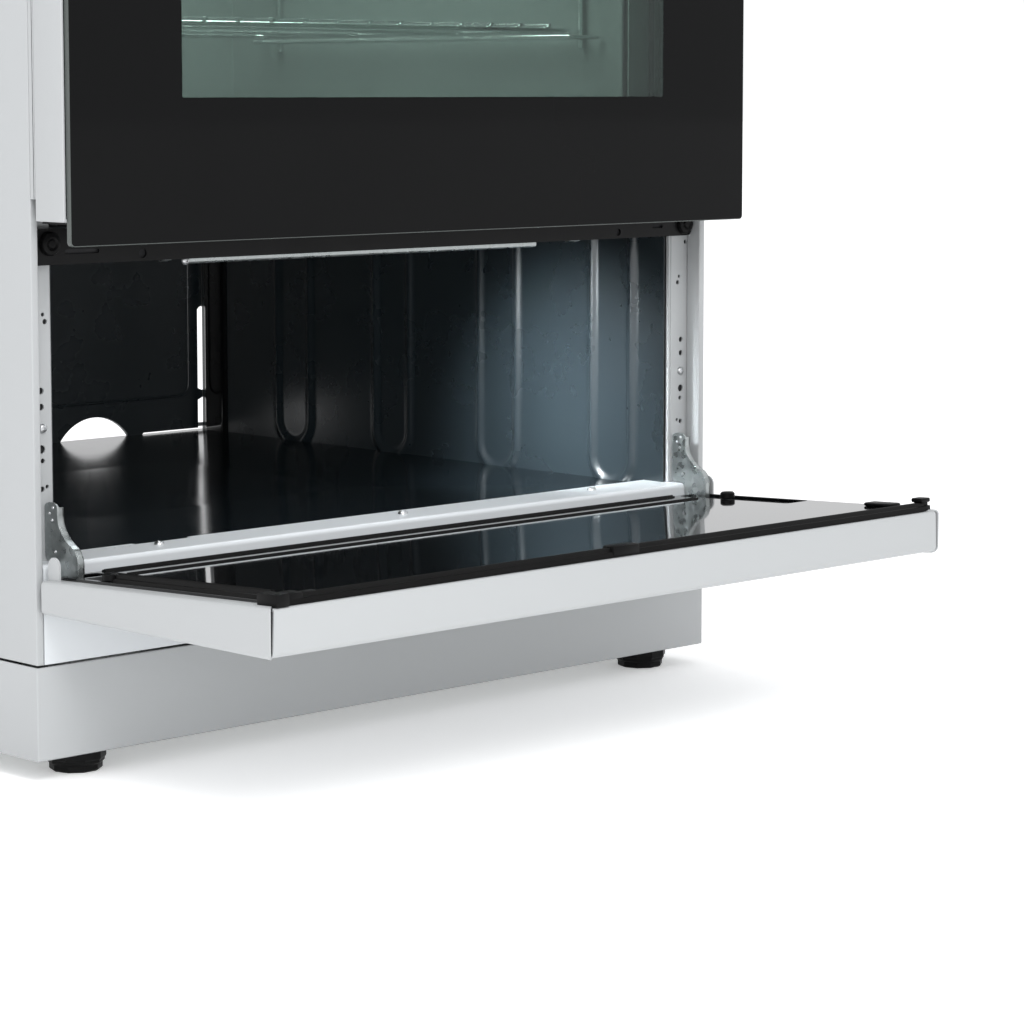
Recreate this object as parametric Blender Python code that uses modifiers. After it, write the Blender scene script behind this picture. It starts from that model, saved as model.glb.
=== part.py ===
"""Freestanding gas range, 60 cm wide, as an assembly of separate pieces.

Metres, +Z up. The range stands on z = 0, X runs across its width and the front faces -Y.
Every size below is given from the cabinet's front plane (y = 0 there, the rear is +Y).
The empty "range" carries that frame, so that the origin of the whole model is the centre
of its footprint with the storage flap open, as it is at rest.
"""
import bmesh
import bpy
import math
from mathutils import Vector

# Overall sizes
WIDTH = 0.600
HALF = WIDTH / 2
BODY_DEPTH = 0.565
HOB_HEIGHT = 0.900
SHEET = 0.0012
CLEAR = 0.0004
FRONT_PROUD = 0.0386

# Feet and plinth
FOOT_HEIGHT = 0.0135
FOOT_RADIUS = 0.0210
FOOT_INSET_X = 0.044
FOOT_INSET_Y = 0.022
FOOT_STEM = 0.0045
FOOT_STEM_TOP = 0.0450
BASE_SHEET = 0.0020
PLINTH_TOP = 0.0718
SHELL_BOTTOM = 0.0733
SHELL_TOP = 0.8685

# Columns beside the openings
RETURN = 0.0055
COLUMN_FACE_Y = 0.0130
COLUMN_INNER_X = 0.2758
COLUMN_DEPTH = 0.0280

# Storage compartment
SILL_TOP = 0.1350
SILL_REAR_Y = 0.0360
SILL_OVERLAP = 0.0020
SILL_LIP = 0.0060
FLOOR_TOP = 0.1315
WALL_X = 0.2752
WALL_TOP = 0.3160
RIB_COUNT = 4
RIB_PITCH = 0.1230
RIB_WIDTH = 0.0520
RIB_FIRST_Y = 0.0725
RIB_HEIGHT = 0.0030
PIPE_HOLE_X = 0.1600
PIPE_HOLE_Z = 0.1330
PIPE_HOLE_RADIUS = 0.0290
RAIL_BOTTOM = 0.3170
RAIL_TOP = 0.3390
RAIL_Y = 0.0080
RAIL_LEDGE = 0.0045

# Storage flap, open and level at rest
FLAP_REACH = 0.2210
FLAP_REAR_Y = -0.0044
FLAP_HALF = 0.2980
FLAP_BOTTOM = 0.1062
FLAP_REAR_TOP = 0.1248
FLAP_FRONT_TOP = 0.1343
FLAP_PIVOT = (0.0, -0.0194, 0.1255)
ARM_X = 0.2830
ARM_WIDTH = 0.0120
TRIM_WIDTH = 0.0100
PANEL_SINK = 0.0020
PANEL_THICK = 0.0040
ARM_NOTCH = 0.0240
ARM_NOTCH_Y = -0.0620

# Oven door
DOOR_BOTTOM = 0.3301
DOOR_TOP = 0.7680
DOOR_GLASS = 0.0040
DOOR_FRAME_BOTTOM = 0.3446
DOOR_REAR_Y = -0.0040
DOOR_PIVOT = (0.0, -0.0280, 0.3576)
DOOR_HINGE_X = 0.2500
DOOR_SIDE_LIP = 0.0015
DOOR_WALL = 0.0020
DOOR_TOP_SETBACK = 0.0015
HINGE_SLOT_HALF = 0.0055
WINDOW_HALF = 0.2135
WINDOW_BOTTOM = 0.4185
WINDOW_TOP = 0.6900
HANDLE_Z = 0.7300
HANDLE_REACH = 0.0440
HANDLE_RADIUS = 0.0085
HANDLE_HALF = 0.2350

# Oven cavity
CAVITY_HALF = 0.2300
CAVITY_BOTTOM = 0.3800
CAVITY_TOP = 0.7420
CAVITY_FRONT_Y = 0.0160
CAVITY_REAR_Y = 0.4600
INSULATION = 0.0200
GASKET_MARGIN = 0.0030
GASKET_WIDTH = 0.0090
FLOOR_PLATE_TOP = 0.4040
FLOOR_SLOT_X = 0.1900
OVEN_BURNER_RADIUS = 0.0090
RACK_Z = 0.4655
RACK_FRONT_Y = 0.0450
RACK_DEPTH = 0.3600
RACK_HALF = 0.2150
RACK_WIRE = 0.0050
RACK_GAPS = 15
GUIDE_PITCH = 0.0550
GUIDE_REACH = 0.0220
GUIDE_LENGTH = 0.3800
GUIDE_LEVELS = 5

# Hob and controls
FASCIA_BOTTOM = 0.7710
FASCIA_TOP = 0.8690
FASCIA_GAP = 0.0015
FASCIA_WALL = 0.0015
KNOB_Z = 0.8180
KNOB_XS = (-0.220, -0.125, 0.0, 0.125, 0.220)
KNOB_RADIUS = 0.0210
KNOB_DEPTH = 0.0240
STEM_RADIUS = 0.0035
STEM_PUSH = 0.0040
VALVE_FRONT_Y = -0.0100
GAS_RAIL_Y = 0.0050
GAS_RAIL_Z = 0.8180
GAS_PIPE_RADIUS = 0.0070
GAS_INLET_X = 0.2550
HOB_EDGE = 0.0300
BURNER_X = 0.1400
BURNER_FRONT_Y = 0.1285
BURNER_REAR_Y = 0.3665
BURNERS = (
    ("front_left", -BURNER_X, BURNER_FRONT_Y, 0.0300),
    ("front_right", BURNER_X, BURNER_FRONT_Y, 0.0480),
    ("rear_left", -BURNER_X, BURNER_REAR_Y, 0.0380),
    ("rear_right", BURNER_X, BURNER_REAR_Y, 0.0220),
)
BURNER_HEAD = 0.0120
BURNER_CAP = 0.0060
GRATE_TOP = 0.9420
GRATE_BAR = 0.0090
FINGER_CLEAR = 0.0220
GRATE_INNER_X = 0.0060
GRATE_OUTER_X = 0.2740
GRATE_FRONT_Y = 0.0050
GRATE_REAR_Y = 0.4900
RISER_TOP = 0.9450
RISER_Y = 0.5050
RISER_SLOTS = 12
RISER_SLOT_PITCH = 0.0420

SIDES = (("left", -1), ("right", 1))
MERGE = 0.0001

WHITE = ((0.80, 0.81, 0.82), 0.35, 0.0)
BLACK = ((0.012, 0.013, 0.015), 0.25, 0.0)
STEEL = ((0.55, 0.56, 0.57), 0.35, 1.0)
IRON = ((0.02, 0.02, 0.02), 0.60, 0.0)
RUBBER = ((0.02, 0.02, 0.02), 0.80, 0.0)
ENAMEL = ((0.03, 0.035, 0.04), 0.30, 0.0)
ALUMINIUM = ((0.70, 0.70, 0.71), 0.40, 1.0)
WOOL = ((0.55, 0.50, 0.40), 0.95, 0.0)

MODEL = None
CUTTERS = None
ORIGIN = None


# ---------------------------------------------------------------- scene set-up
def start_scene():
    """Empties the file and makes the two collections and the empty that carries the range."""
    global MODEL, CUTTERS, ORIGIN
    for old in list(bpy.data.objects):
        bpy.data.objects.remove(old, do_unlink=True)
    MODEL = bpy.data.collections.new("gas_range")
    CUTTERS = bpy.data.collections.new("cutters")
    bpy.context.scene.collection.children.link(MODEL)
    bpy.context.scene.collection.children.link(CUTTERS)
    ORIGIN = bpy.data.objects.new("range", None)
    ORIGIN.location = (0.0, (FLAP_REACH - BODY_DEPTH) / 2, 0.0)
    MODEL.objects.link(ORIGIN)


def axis_empty(name, position):
    """An empty on a joint's axis, which the moving pieces are parented to."""
    empty = bpy.data.objects.new(name, None)
    empty.parent = ORIGIN
    empty.location = position
    MODEL.objects.link(empty)
    return empty


def finish_material(name, look):
    """A Principled material of the piece's own, from a (colour, roughness, metallic) look."""
    colour, roughness, metallic = look
    material = bpy.data.materials.new(name)
    material.use_nodes = True
    shader = material.node_tree.nodes["Principled BSDF"]
    shader.inputs["Base Color"].default_value = (*colour, 1.0)
    shader.inputs["Roughness"].default_value = roughness
    shader.inputs["Metallic"].default_value = metallic
    return material


def place(obj, look, parent=None, collection=None):
    """Puts a piece made in the cabinet's frame under its parent empty, with its material."""
    (collection or MODEL).objects.link(obj)
    obj.parent = parent or ORIGIN
    if parent:
        obj.location = Vector(obj.location) - Vector(parent.location)
    if look:
        obj.data.materials.append(finish_material(obj.name, look))
    return obj


# ---------------------------------------------------------------- shape makers
def cube_mesh(name, low, high):
    """A box's mesh about its own centre, and that centre."""
    low, high = Vector(low), Vector(high)
    shape = bmesh.new()
    bmesh.ops.create_cube(shape, size=1.0)
    bmesh.ops.scale(shape, vec=high - low, verts=shape.verts)
    mesh = bpy.data.meshes.new(name)
    shape.to_mesh(mesh)
    shape.free()
    return mesh, (low + high) / 2


def box(name, low, high, look, parent=None):
    """A plain block between two corners."""
    mesh, centre = cube_mesh(name, low, high)
    obj = bpy.data.objects.new(name, mesh)
    obj.location = centre
    return place(obj, look, parent)


def turned(name, profile, position, look, parent=None, sides=24, turn=(0.0, 0.0, 0.0)):
    """A turned piece: (radius, height) points that run down its outer side, spun about Z."""
    mesh = bpy.data.meshes.new(name)
    points = [(radius, 0.0, height) for radius, height in profile]
    mesh.from_pydata(points, [(i, i + 1) for i in range(len(points) - 1)], [])
    obj = bpy.data.objects.new(name, mesh)
    obj.location = position
    obj.rotation_euler = turn
    screw = obj.modifiers.new("turn", "SCREW")
    screw.steps = sides
    screw.render_steps = sides
    screw.use_merge_vertices = True
    screw.merge_threshold = MERGE
    return place(obj, look, parent)


AXIS_TURN = {
    "Z": (0.0, 0.0, 0.0),
    "Y": (math.pi / 2, 0.0, 0.0),
    "X": (math.pi / 2, 0.0, math.pi / 2),
}


def outline(name, loops, along, start, end, look, parent=None):
    """A flat outline drawn across one axis and extruded along it from start to end.

    Loops hold (x, y) points for Z, (x, z) for Y and (y, z) for X; later loops are holes.
    """
    curve = bpy.data.curves.new(name, "CURVE")
    curve.dimensions = "2D"
    curve.fill_mode = "BOTH"
    curve.extrude = abs(end - start) / 2
    for loop in loops:
        spline = curve.splines.new("POLY")
        spline.points.add(len(loop) - 1)
        for point, (a, b) in zip(spline.points, loop):
            point.co = (a, b, 0.0, 1.0)
        spline.use_cyclic_u = True
    obj = bpy.data.objects.new(name, curve)
    middle = (start + end) / 2
    place_of = {"Z": (0.0, 0.0, middle), "Y": (0.0, middle, 0.0), "X": (middle, 0.0, 0.0)}
    obj.location = place_of[along]
    obj.rotation_euler = AXIS_TURN[along]
    return place(obj, look, parent)


def tube(name, points, radius, look, parent=None, cyclic=False):
    """A round wire or pipe along straight runs between its points."""
    curve = bpy.data.curves.new(name, "CURVE")
    curve.dimensions = "3D"
    curve.bevel_depth = radius
    curve.bevel_resolution = 2
    curve.use_fill_caps = True
    spline = curve.splines.new("POLY")
    spline.points.add(len(points) - 1)
    for point, position in zip(spline.points, points):
        point.co = (*position, 1.0)
    spline.use_cyclic_u = cyclic
    obj = bpy.data.objects.new(name, curve)
    return place(obj, look, parent)


def as_mesh(obj):
    """The same piece as a mesh, so that it can be cut or joined."""
    bpy.context.view_layer.update()
    evaluated = obj.evaluated_get(bpy.context.evaluated_depsgraph_get())
    mesh = bpy.data.meshes.new_from_object(evaluated)
    shape = bmesh.new()
    shape.from_mesh(mesh)
    bmesh.ops.remove_doubles(shape, verts=shape.verts, dist=MERGE / 10)
    shape.to_mesh(mesh)
    shape.free()
    name = obj.name
    solid = bpy.data.objects.new(name + "_solid", mesh)
    for collection in obj.users_collection:
        collection.objects.link(solid)
    solid.parent = obj.parent
    solid.matrix_world = obj.matrix_world.copy()
    bpy.data.objects.remove(obj, do_unlink=True)
    solid.name = name
    return solid


def as_tool(obj):
    """Turns a piece into a cutter, or a body to be joined, that isn't part of the range."""
    for collection in list(obj.users_collection):
        collection.objects.unlink(obj)
    CUTTERS.objects.link(obj)
    obj.hide_render = True
    obj.display_type = "WIRE"
    return obj


def combine(obj, tool, operation, solver="EXACT"):
    """Adds a Boolean modifier that cuts the tool out of the piece, or joins it on."""
    modifier = obj.modifiers.new(operation.lower(), "BOOLEAN")
    modifier.operation = operation
    modifier.object = as_tool(tool)
    modifier.solver = solver
    return obj


def cut_box(obj, low, high, parent=None):
    return combine(obj, box(obj.name + "_cut", low, high, None, parent), "DIFFERENCE")


def cut_round(obj, radius, position, length, turn=(0.0, 0.0, 0.0), parent=None, sides=24):
    """Cuts a round hole whose centre and length along the turned Z axis are given."""
    profile = [(0.0, length / 2), (radius, length / 2), (radius, -length / 2), (0.0, -length / 2)]
    tool = turned(obj.name + "_cut", profile, position, None, parent, sides, turn)
    return combine(obj, tool, "DIFFERENCE")


def open_shell(name, low, high, wall, open_side, look, parent=None):
    """A sheet-metal box that is open on one side, its walls standing inside low and high."""
    mesh, centre = cube_mesh(name, low, high)
    axis = Vector(open_side)
    shape = bmesh.new()
    shape.from_mesh(mesh)
    shape.normal_update()
    lost = [face for face in shape.faces if face.normal.dot(axis) > 0.9]
    bmesh.ops.delete(shape, geom=lost, context="FACES")
    shape.to_mesh(mesh)
    shape.free()
    obj = bpy.data.objects.new(name, mesh)
    obj.location = centre
    solidify = obj.modifiers.new("sheet", "SOLIDIFY")
    solidify.thickness = wall
    solidify.offset = -1.0
    solidify.use_even_offset = True
    return place(obj, look, parent)


def rectangle(x0, x1, y0, y1):
    return [(x0, y0), (x1, y0), (x1, y1), (x0, y1)]


def ring_points(radius, centre, sides, start=0.0):
    """Points on a circle, anticlockwise."""
    angles = [start + 2 * math.pi * i / sides for i in range(sides)]
    return [(centre[0] + radius * math.cos(a), centre[1] + radius * math.sin(a)) for a in angles]


# ---------------------------------------------------------------- cabinet
def side_panels():
    """White side sheets: outer face, front return and a lip back to the column."""
    back = BODY_DEPTH - SHEET - CLEAR
    for side, s in SIDES:
        inner_lip = HALF - RETURN
        path = [
            (s * HALF, 0.0),
            (s * inner_lip, 0.0),
            (s * inner_lip, COLUMN_FACE_Y - CLEAR),
            (s * (inner_lip + SHEET), COLUMN_FACE_Y - CLEAR),
            (s * (inner_lip + SHEET), SHEET),
            (s * (HALF - SHEET), SHEET),
            (s * (HALF - SHEET), back),
            (s * HALF, back),
        ]
        outline(f"side_panel_{side}", [path], "Z", SHELL_BOTTOM, SHELL_TOP, WHITE)


def back_panel():
    """Rear sheet with the gas pipe's hole at the height of the compartment's floor."""
    panel = box(
        "back_panel",
        (-HALF + CLEAR, BODY_DEPTH - SHEET, SHELL_BOTTOM),
        (HALF - CLEAR, BODY_DEPTH, SHELL_TOP),
        WHITE,
    )
    position = (PIPE_HOLE_X, BODY_DEPTH, PIPE_HOLE_Z)
    cut_round(panel, PIPE_HOLE_RADIUS, position, 0.02, AXIS_TURN["Y"], sides=32)
    inlet = (GAS_INLET_X, BODY_DEPTH, GAS_RAIL_Z)
    cut_round(panel, GAS_PIPE_RADIUS * 2, inlet, 0.02, AXIS_TURN["Y"])


def plinth_and_base():
    """Plinth skirt round all four sides and the base plate that the feet screw into."""
    skirt = [
        rectangle(-HALF, HALF, 0.0, BODY_DEPTH),
        rectangle(-HALF + SHEET, HALF - SHEET, SHEET, BODY_DEPTH - SHEET),
    ]
    outline("plinth", skirt, "Z", FOOT_HEIGHT, PLINTH_TOP, WHITE)
    inner = HALF - SHEET - CLEAR
    near = SHEET + CLEAR
    plate = [rectangle(-inner, inner, near, BODY_DEPTH - near)]
    for x, y in foot_places():
        plate.append(ring_points(FOOT_STEM + CLEAR, (x, y), 8))
    outline("base_plate", plate, "Z", FOOT_HEIGHT + CLEAR, FOOT_HEIGHT + CLEAR + BASE_SHEET, STEEL)


def foot_places():
    xs = (-HALF + FOOT_INSET_X, HALF - FOOT_INSET_X)
    ys = (FOOT_INSET_Y, BODY_DEPTH - FOOT_INSET_Y)
    return [(x, y) for y in ys for x in xs]


def feet():
    """Eight-sided levelling feet, each with its screw stem through the base plate."""
    names = ("foot_front_left", "foot_front_right", "foot_rear_left", "foot_rear_right")
    top = FOOT_HEIGHT - CLEAR
    profile = [
        (0.0, FOOT_STEM_TOP),
        (FOOT_STEM, FOOT_STEM_TOP),
        (FOOT_STEM, top),
        (FOOT_RADIUS - 0.001, top),
        (FOOT_RADIUS, top - 0.003),
        (FOOT_RADIUS, 0.001),
        (FOOT_RADIUS - 0.001, 0.0),
        (0.0, 0.0),
    ]
    for name, (x, y) in zip(names, foot_places()):
        axis = axis_empty(name + "_axis", (x, y, 0.0))
        turned(name, profile, (x, y, 0.0), RUBBER, axis, sides=8, turn=(0.0, 0.0, math.pi / 8))


def front_posts():
    """Columns beside the openings: a perforated face behind the side's return, and a web."""
    outer = HALF - SHEET - CLEAR
    for side, s in SIDES:
        path = [
            (s * outer, COLUMN_FACE_Y),
            (s * COLUMN_INNER_X, COLUMN_FACE_Y),
            (s * COLUMN_INNER_X, COLUMN_DEPTH),
            (s * (COLUMN_INNER_X + SHEET), COLUMN_DEPTH),
            (s * (COLUMN_INNER_X + SHEET), COLUMN_FACE_Y + SHEET),
            (s * outer, COLUMN_FACE_Y + SHEET),
        ]
        outline(f"front_post_{side}", [path], "Z", SHELL_BOTTOM, SHELL_TOP, WHITE)


def sill_rail():
    """White lower front with the shelf that the screws go through, between the returns."""
    reach = HALF - RETURN - CLEAR
    deep = COLUMN_FACE_Y - CLEAR
    face = [
        (0.0, SHELL_BOTTOM),
        (0.0, SILL_TOP - 0.0010),
        (0.0010, SILL_TOP),
        (deep, SILL_TOP),
        (deep, SILL_TOP - SHEET),
        (SHEET, SILL_TOP - SHEET),
        (SHEET, SHELL_BOTTOM),
    ]
    front = as_mesh(outline("lower_front", [face], "X", -reach, reach, WHITE))
    shelf = WALL_X - SHEET - CLEAR
    step = [
        (deep - SILL_OVERLAP, SILL_TOP),
        (SILL_REAR_Y, SILL_TOP),
        (SILL_REAR_Y, FLOOR_TOP - SILL_LIP),
        (SILL_REAR_Y - SHEET, FLOOR_TOP - SILL_LIP),
        (SILL_REAR_Y - SHEET, SILL_TOP - SHEET),
        (deep - SILL_OVERLAP, SILL_TOP - SHEET),
    ]
    combine(front, as_mesh(outline("sill_shelf", [step], "X", -shelf, shelf, None)), "UNION")


def compartment():
    """Floor and two ribbed side walls of the storage compartment."""
    front = SILL_REAR_Y + CLEAR
    back = BODY_DEPTH - SHEET - CLEAR
    floor = box(
        "compartment_floor",
        (-WALL_X, front, FLOOR_TOP - SHEET),
        (WALL_X, back, FLOOR_TOP),
        BLACK,
    )
    cut_round(floor, PIPE_HOLE_RADIUS, (PIPE_HOLE_X, BODY_DEPTH, FLOOR_TOP), 0.02, sides=32)
    low = FLOOR_TOP + CLEAR
    for side, s in SIDES:
        outer, face = s * WALL_X, s * (WALL_X - SHEET)
        wall = [(outer, COLUMN_DEPTH + CLEAR), (face, COLUMN_DEPTH + CLEAR)]
        for i in range(RIB_COUNT):
            middle = RIB_FIRST_Y + i * RIB_PITCH
            start, end = middle - RIB_WIDTH / 2, middle + RIB_WIDTH / 2
            ridge = s * (WALL_X - SHEET - RIB_HEIGHT)
            wall += [(face, start), (ridge, start + RIB_HEIGHT)]
            wall += [(ridge, end - RIB_HEIGHT), (face, end)]
        wall += [(face, back), (outer, back)]
        outline(f"compartment_wall_{side}", [wall], "Z", low, WALL_TOP, BLACK)


def oven_rail():
    """Black cross rail between the compartment and the oven door."""
    reach = HALF - RETURN - CLEAR
    path = [
        (RAIL_Y, RAIL_BOTTOM),
        (RAIL_Y, RAIL_TOP),
        (RAIL_Y + RAIL_LEDGE, RAIL_TOP),
        (RAIL_Y + RAIL_LEDGE, RAIL_TOP - SHEET),
        (RAIL_Y + SHEET, RAIL_TOP - SHEET),
        (RAIL_Y + SHEET, RAIL_BOTTOM + SHEET),
        (RAIL_Y + RAIL_LEDGE, RAIL_BOTTOM + SHEET),
        (RAIL_Y + RAIL_LEDGE, RAIL_BOTTOM),
    ]
    outline("oven_rail", [path], "X", -reach, reach, BLACK)


# ---------------------------------------------------------------- oven
def oven():
    """Enamelled liner with its front frame, insulation, gasket, floor plate and burner."""
    low = (-CAVITY_HALF, CAVITY_FRONT_Y, CAVITY_BOTTOM)
    high = (CAVITY_HALF, CAVITY_REAR_Y, CAVITY_TOP)
    open_shell("oven_liner", low, high, SHEET, (0, -1, 0), ENAMEL)
    margin = INSULATION + CLEAR
    low = (-CAVITY_HALF - margin, CAVITY_FRONT_Y, CAVITY_BOTTOM - margin)
    high = (CAVITY_HALF + margin, CAVITY_REAR_Y + margin, CAVITY_TOP + margin)
    open_shell("oven_insulation", low, high, INSULATION, (0, -1, 0), WOOL)
    frame_low, frame_high = RAIL_TOP + CLEAR * 2, DOOR_TOP
    reach = COLUMN_INNER_X - CLEAR
    gap = SHEET + CLEAR
    frame = [
        rectangle(-reach, reach, frame_low, frame_high),
        rectangle(-CAVITY_HALF + gap, CAVITY_HALF - gap, CAVITY_BOTTOM + gap, CAVITY_TOP - gap),
    ]
    frame_y = CAVITY_FRONT_Y - CLEAR
    outline("oven_front_frame", frame, "Y", frame_y - SHEET, frame_y, ENAMEL)
    seal = GASKET_MARGIN
    inner = rectangle(
        -CAVITY_HALF - seal, CAVITY_HALF + seal, CAVITY_BOTTOM - seal, CAVITY_TOP + seal
    )
    wide = seal + GASKET_WIDTH
    outer = rectangle(
        -CAVITY_HALF - wide, CAVITY_HALF + wide, CAVITY_BOTTOM - wide, CAVITY_TOP + wide
    )
    gasket_back = frame_y - SHEET - CLEAR
    outline("oven_gasket", [outer, inner], "Y", DOOR_REAR_Y + CLEAR, gasket_back, RUBBER)
    oven_floor()
    rack_guides()
    rack()


def oven_floor():
    """Slotted floor plate on two bent edges, and the burner tube below it."""
    half = CAVITY_HALF - SHEET - CLEAR * 2
    front, back = CAVITY_FRONT_Y + 0.004, CAVITY_REAR_Y - SHEET - CLEAR * 2
    edge = CAVITY_BOTTOM + SHEET + CLEAR
    path = [
        (-half, edge),
        (-half + SHEET, edge),
        (-half + SHEET, FLOOR_PLATE_TOP - SHEET),
        (half - SHEET, FLOOR_PLATE_TOP - SHEET),
        (half - SHEET, edge),
        (half, edge),
        (half, FLOOR_PLATE_TOP),
        (-half, FLOOR_PLATE_TOP),
    ]
    plate = as_mesh(outline("oven_floor_plate", [path], "Y", front, back, ENAMEL))
    for s in (-1, 1):
        low = (s * FLOOR_SLOT_X - 0.006, front + 0.05, FLOOR_PLATE_TOP - 0.01)
        high = (s * FLOOR_SLOT_X + 0.006, back - 0.05, FLOOR_PLATE_TOP + 0.01)
        cut_box(plate, low, high)
    z = CAVITY_BOTTOM + SHEET + OVEN_BURNER_RADIUS + 0.002
    points = [(0.0, front + 0.06, z), (0.0, (front + back) / 2, z), (0.0, back - 0.004, z)]
    tube("oven_burner", points, OVEN_BURNER_RADIUS, STEEL)


def rack_guides():
    """Side guides with pairs of ledges, one pair for each height of the rack."""
    web = CAVITY_HALF - SHEET - CLEAR
    tip = web - GUIDE_REACH
    for side, s in SIDES:
        path = [(s * web, RACK_Z - 0.030)]
        for i in range(GUIDE_LEVELS):
            z = RACK_Z - CLEAR - 0.0020 + i * GUIDE_PITCH
            path += [(s * (web - 0.002), z - 0.002), (s * tip, z - 0.002)]
            path += [(s * tip, z), (s * (web - 0.002), z)]
        top = RACK_Z + (GUIDE_LEVELS - 1) * GUIDE_PITCH + 0.020
        path += [(s * (web - 0.002), top), (s * web, top)]
        start = RACK_FRONT_Y - 0.010
        outline(f"rack_guide_{side}", [path], "Y", start, start + GUIDE_LENGTH, STEEL)


def rack():
    """Oven rack on the lowest guides: a frame with wires from front to back."""
    axis = axis_empty("oven_rack_axis", (0.0, RACK_FRONT_Y, RACK_Z))
    loops = [rectangle(-RACK_HALF, RACK_HALF, RACK_FRONT_Y, RACK_FRONT_Y + RACK_DEPTH)]
    pitch = (2 * RACK_HALF - RACK_WIRE) / RACK_GAPS
    near, far = RACK_FRONT_Y + RACK_WIRE, RACK_FRONT_Y + RACK_DEPTH - RACK_WIRE
    for i in range(RACK_GAPS):
        left = -RACK_HALF + RACK_WIRE + i * pitch
        loops.append(rectangle(left, left + pitch - RACK_WIRE, near, far))
    outline("oven_rack", loops, "Z", RACK_Z, RACK_Z + RACK_WIRE, STEEL, axis)


# ---------------------------------------------------------------- oven door
def oven_door():
    """Glass-fronted door that drops down about its lower edge."""
    axis = axis_empty("oven_door_axis", DOOR_PIVOT)
    front = -FRONT_PROUD
    glass_back = front + DOOR_GLASS
    box(
        "door_outer_glass",
        (-HALF + DOOR_SIDE_LIP + CLEAR, front, DOOR_BOTTOM),
        (HALF - DOOR_SIDE_LIP - CLEAR, glass_back, DOOR_TOP),
        BLACK,
        axis,
    )
    wall = DOOR_WALL
    top = DOOR_TOP - DOOR_TOP_SETBACK
    ring = [
        rectangle(-HALF, HALF, DOOR_FRAME_BOTTOM, top),
        rectangle(-HALF + wall, HALF - wall, DOOR_FRAME_BOTTOM + wall, top - wall),
    ]
    frame_front = glass_back + CLEAR
    frame = as_mesh(
        outline("door_frame", ring, "Y", frame_front, DOOR_REAR_Y - SHEET - CLEAR, WHITE, axis)
    )
    inner_low = DOOR_PIVOT[2]
    window = rectangle(-WINDOW_HALF, WINDOW_HALF, WINDOW_BOTTOM, WINDOW_TOP)
    liner = as_mesh(
        outline(
            "door_inner_panel",
            [rectangle(-HALF, HALF, inner_low, top), window],
            "Y",
            DOOR_REAR_Y - SHEET,
            DOOR_REAR_Y,
            ENAMEL,
            axis,
        )
    )
    for s in (-1, 1):
        x = s * DOOR_HINGE_X
        for piece in (frame, liner):
            low = (x - HINGE_SLOT_HALF, DOOR_PIVOT[1] - 0.0055, DOOR_FRAME_BOTTOM - 0.01)
            high = (x + HINGE_SLOT_HALF, 0.01, DOOR_PIVOT[2] + 0.0100)
            cut_box(piece, low, high)
    glass_low = DOOR_REAR_Y - SHEET - CLEAR - DOOR_GLASS
    box(
        "door_inner_glass",
        (-WINDOW_HALF - 0.02, glass_low, WINDOW_BOTTOM - 0.02),
        (WINDOW_HALF + 0.02, glass_low + DOOR_GLASS, WINDOW_TOP + 0.02),
        BLACK,
        axis,
    )
    handle(axis)
    door_hinges()


def handle(axis):
    """Bow handle: a bar on two posts, one bent tube from foot to foot."""
    foot = -FRONT_PROUD - CLEAR
    bend = 0.020
    reach = foot - HANDLE_REACH
    right = [(HANDLE_HALF, foot, HANDLE_Z), (HANDLE_HALF, reach + bend, HANDLE_Z)]
    for i in range(1, 4):
        angle = math.pi / 2 * i / 4
        x = HANDLE_HALF - bend + bend * math.cos(angle)
        right.append((x, reach + bend - bend * math.sin(angle), HANDLE_Z))
    right.append((HANDLE_HALF - bend, reach, HANDLE_Z))
    left = [(-x, y, z) for x, y, z in reversed(right)]
    centre = [Vector(p) - axis.location for p in right + left]
    bar = tube("door_handle", centre, HANDLE_RADIUS, ALUMINIUM)
    bar.parent = axis


def door_hinges():
    """Fixed hinge blades with a round eye, which the door turns about."""
    y, z = DOOR_PIVOT[1], DOOR_PIVOT[2]
    back = CAVITY_FRONT_Y - SHEET - CLEAR * 2
    for side, s in SIDES:
        arc = [
            (y + 0.005 * math.cos(a), z + 0.005 * math.sin(a))
            for a in [math.pi * (0.5 + i / 6) for i in range(7)]
        ]
        path = arc + [(back, z - 0.005), (back, z + 0.005)]
        x = s * DOOR_HINGE_X
        outline(f"door_hinge_{side}", [path], "X", x - 0.0025, x + 0.0025, STEEL)


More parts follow.
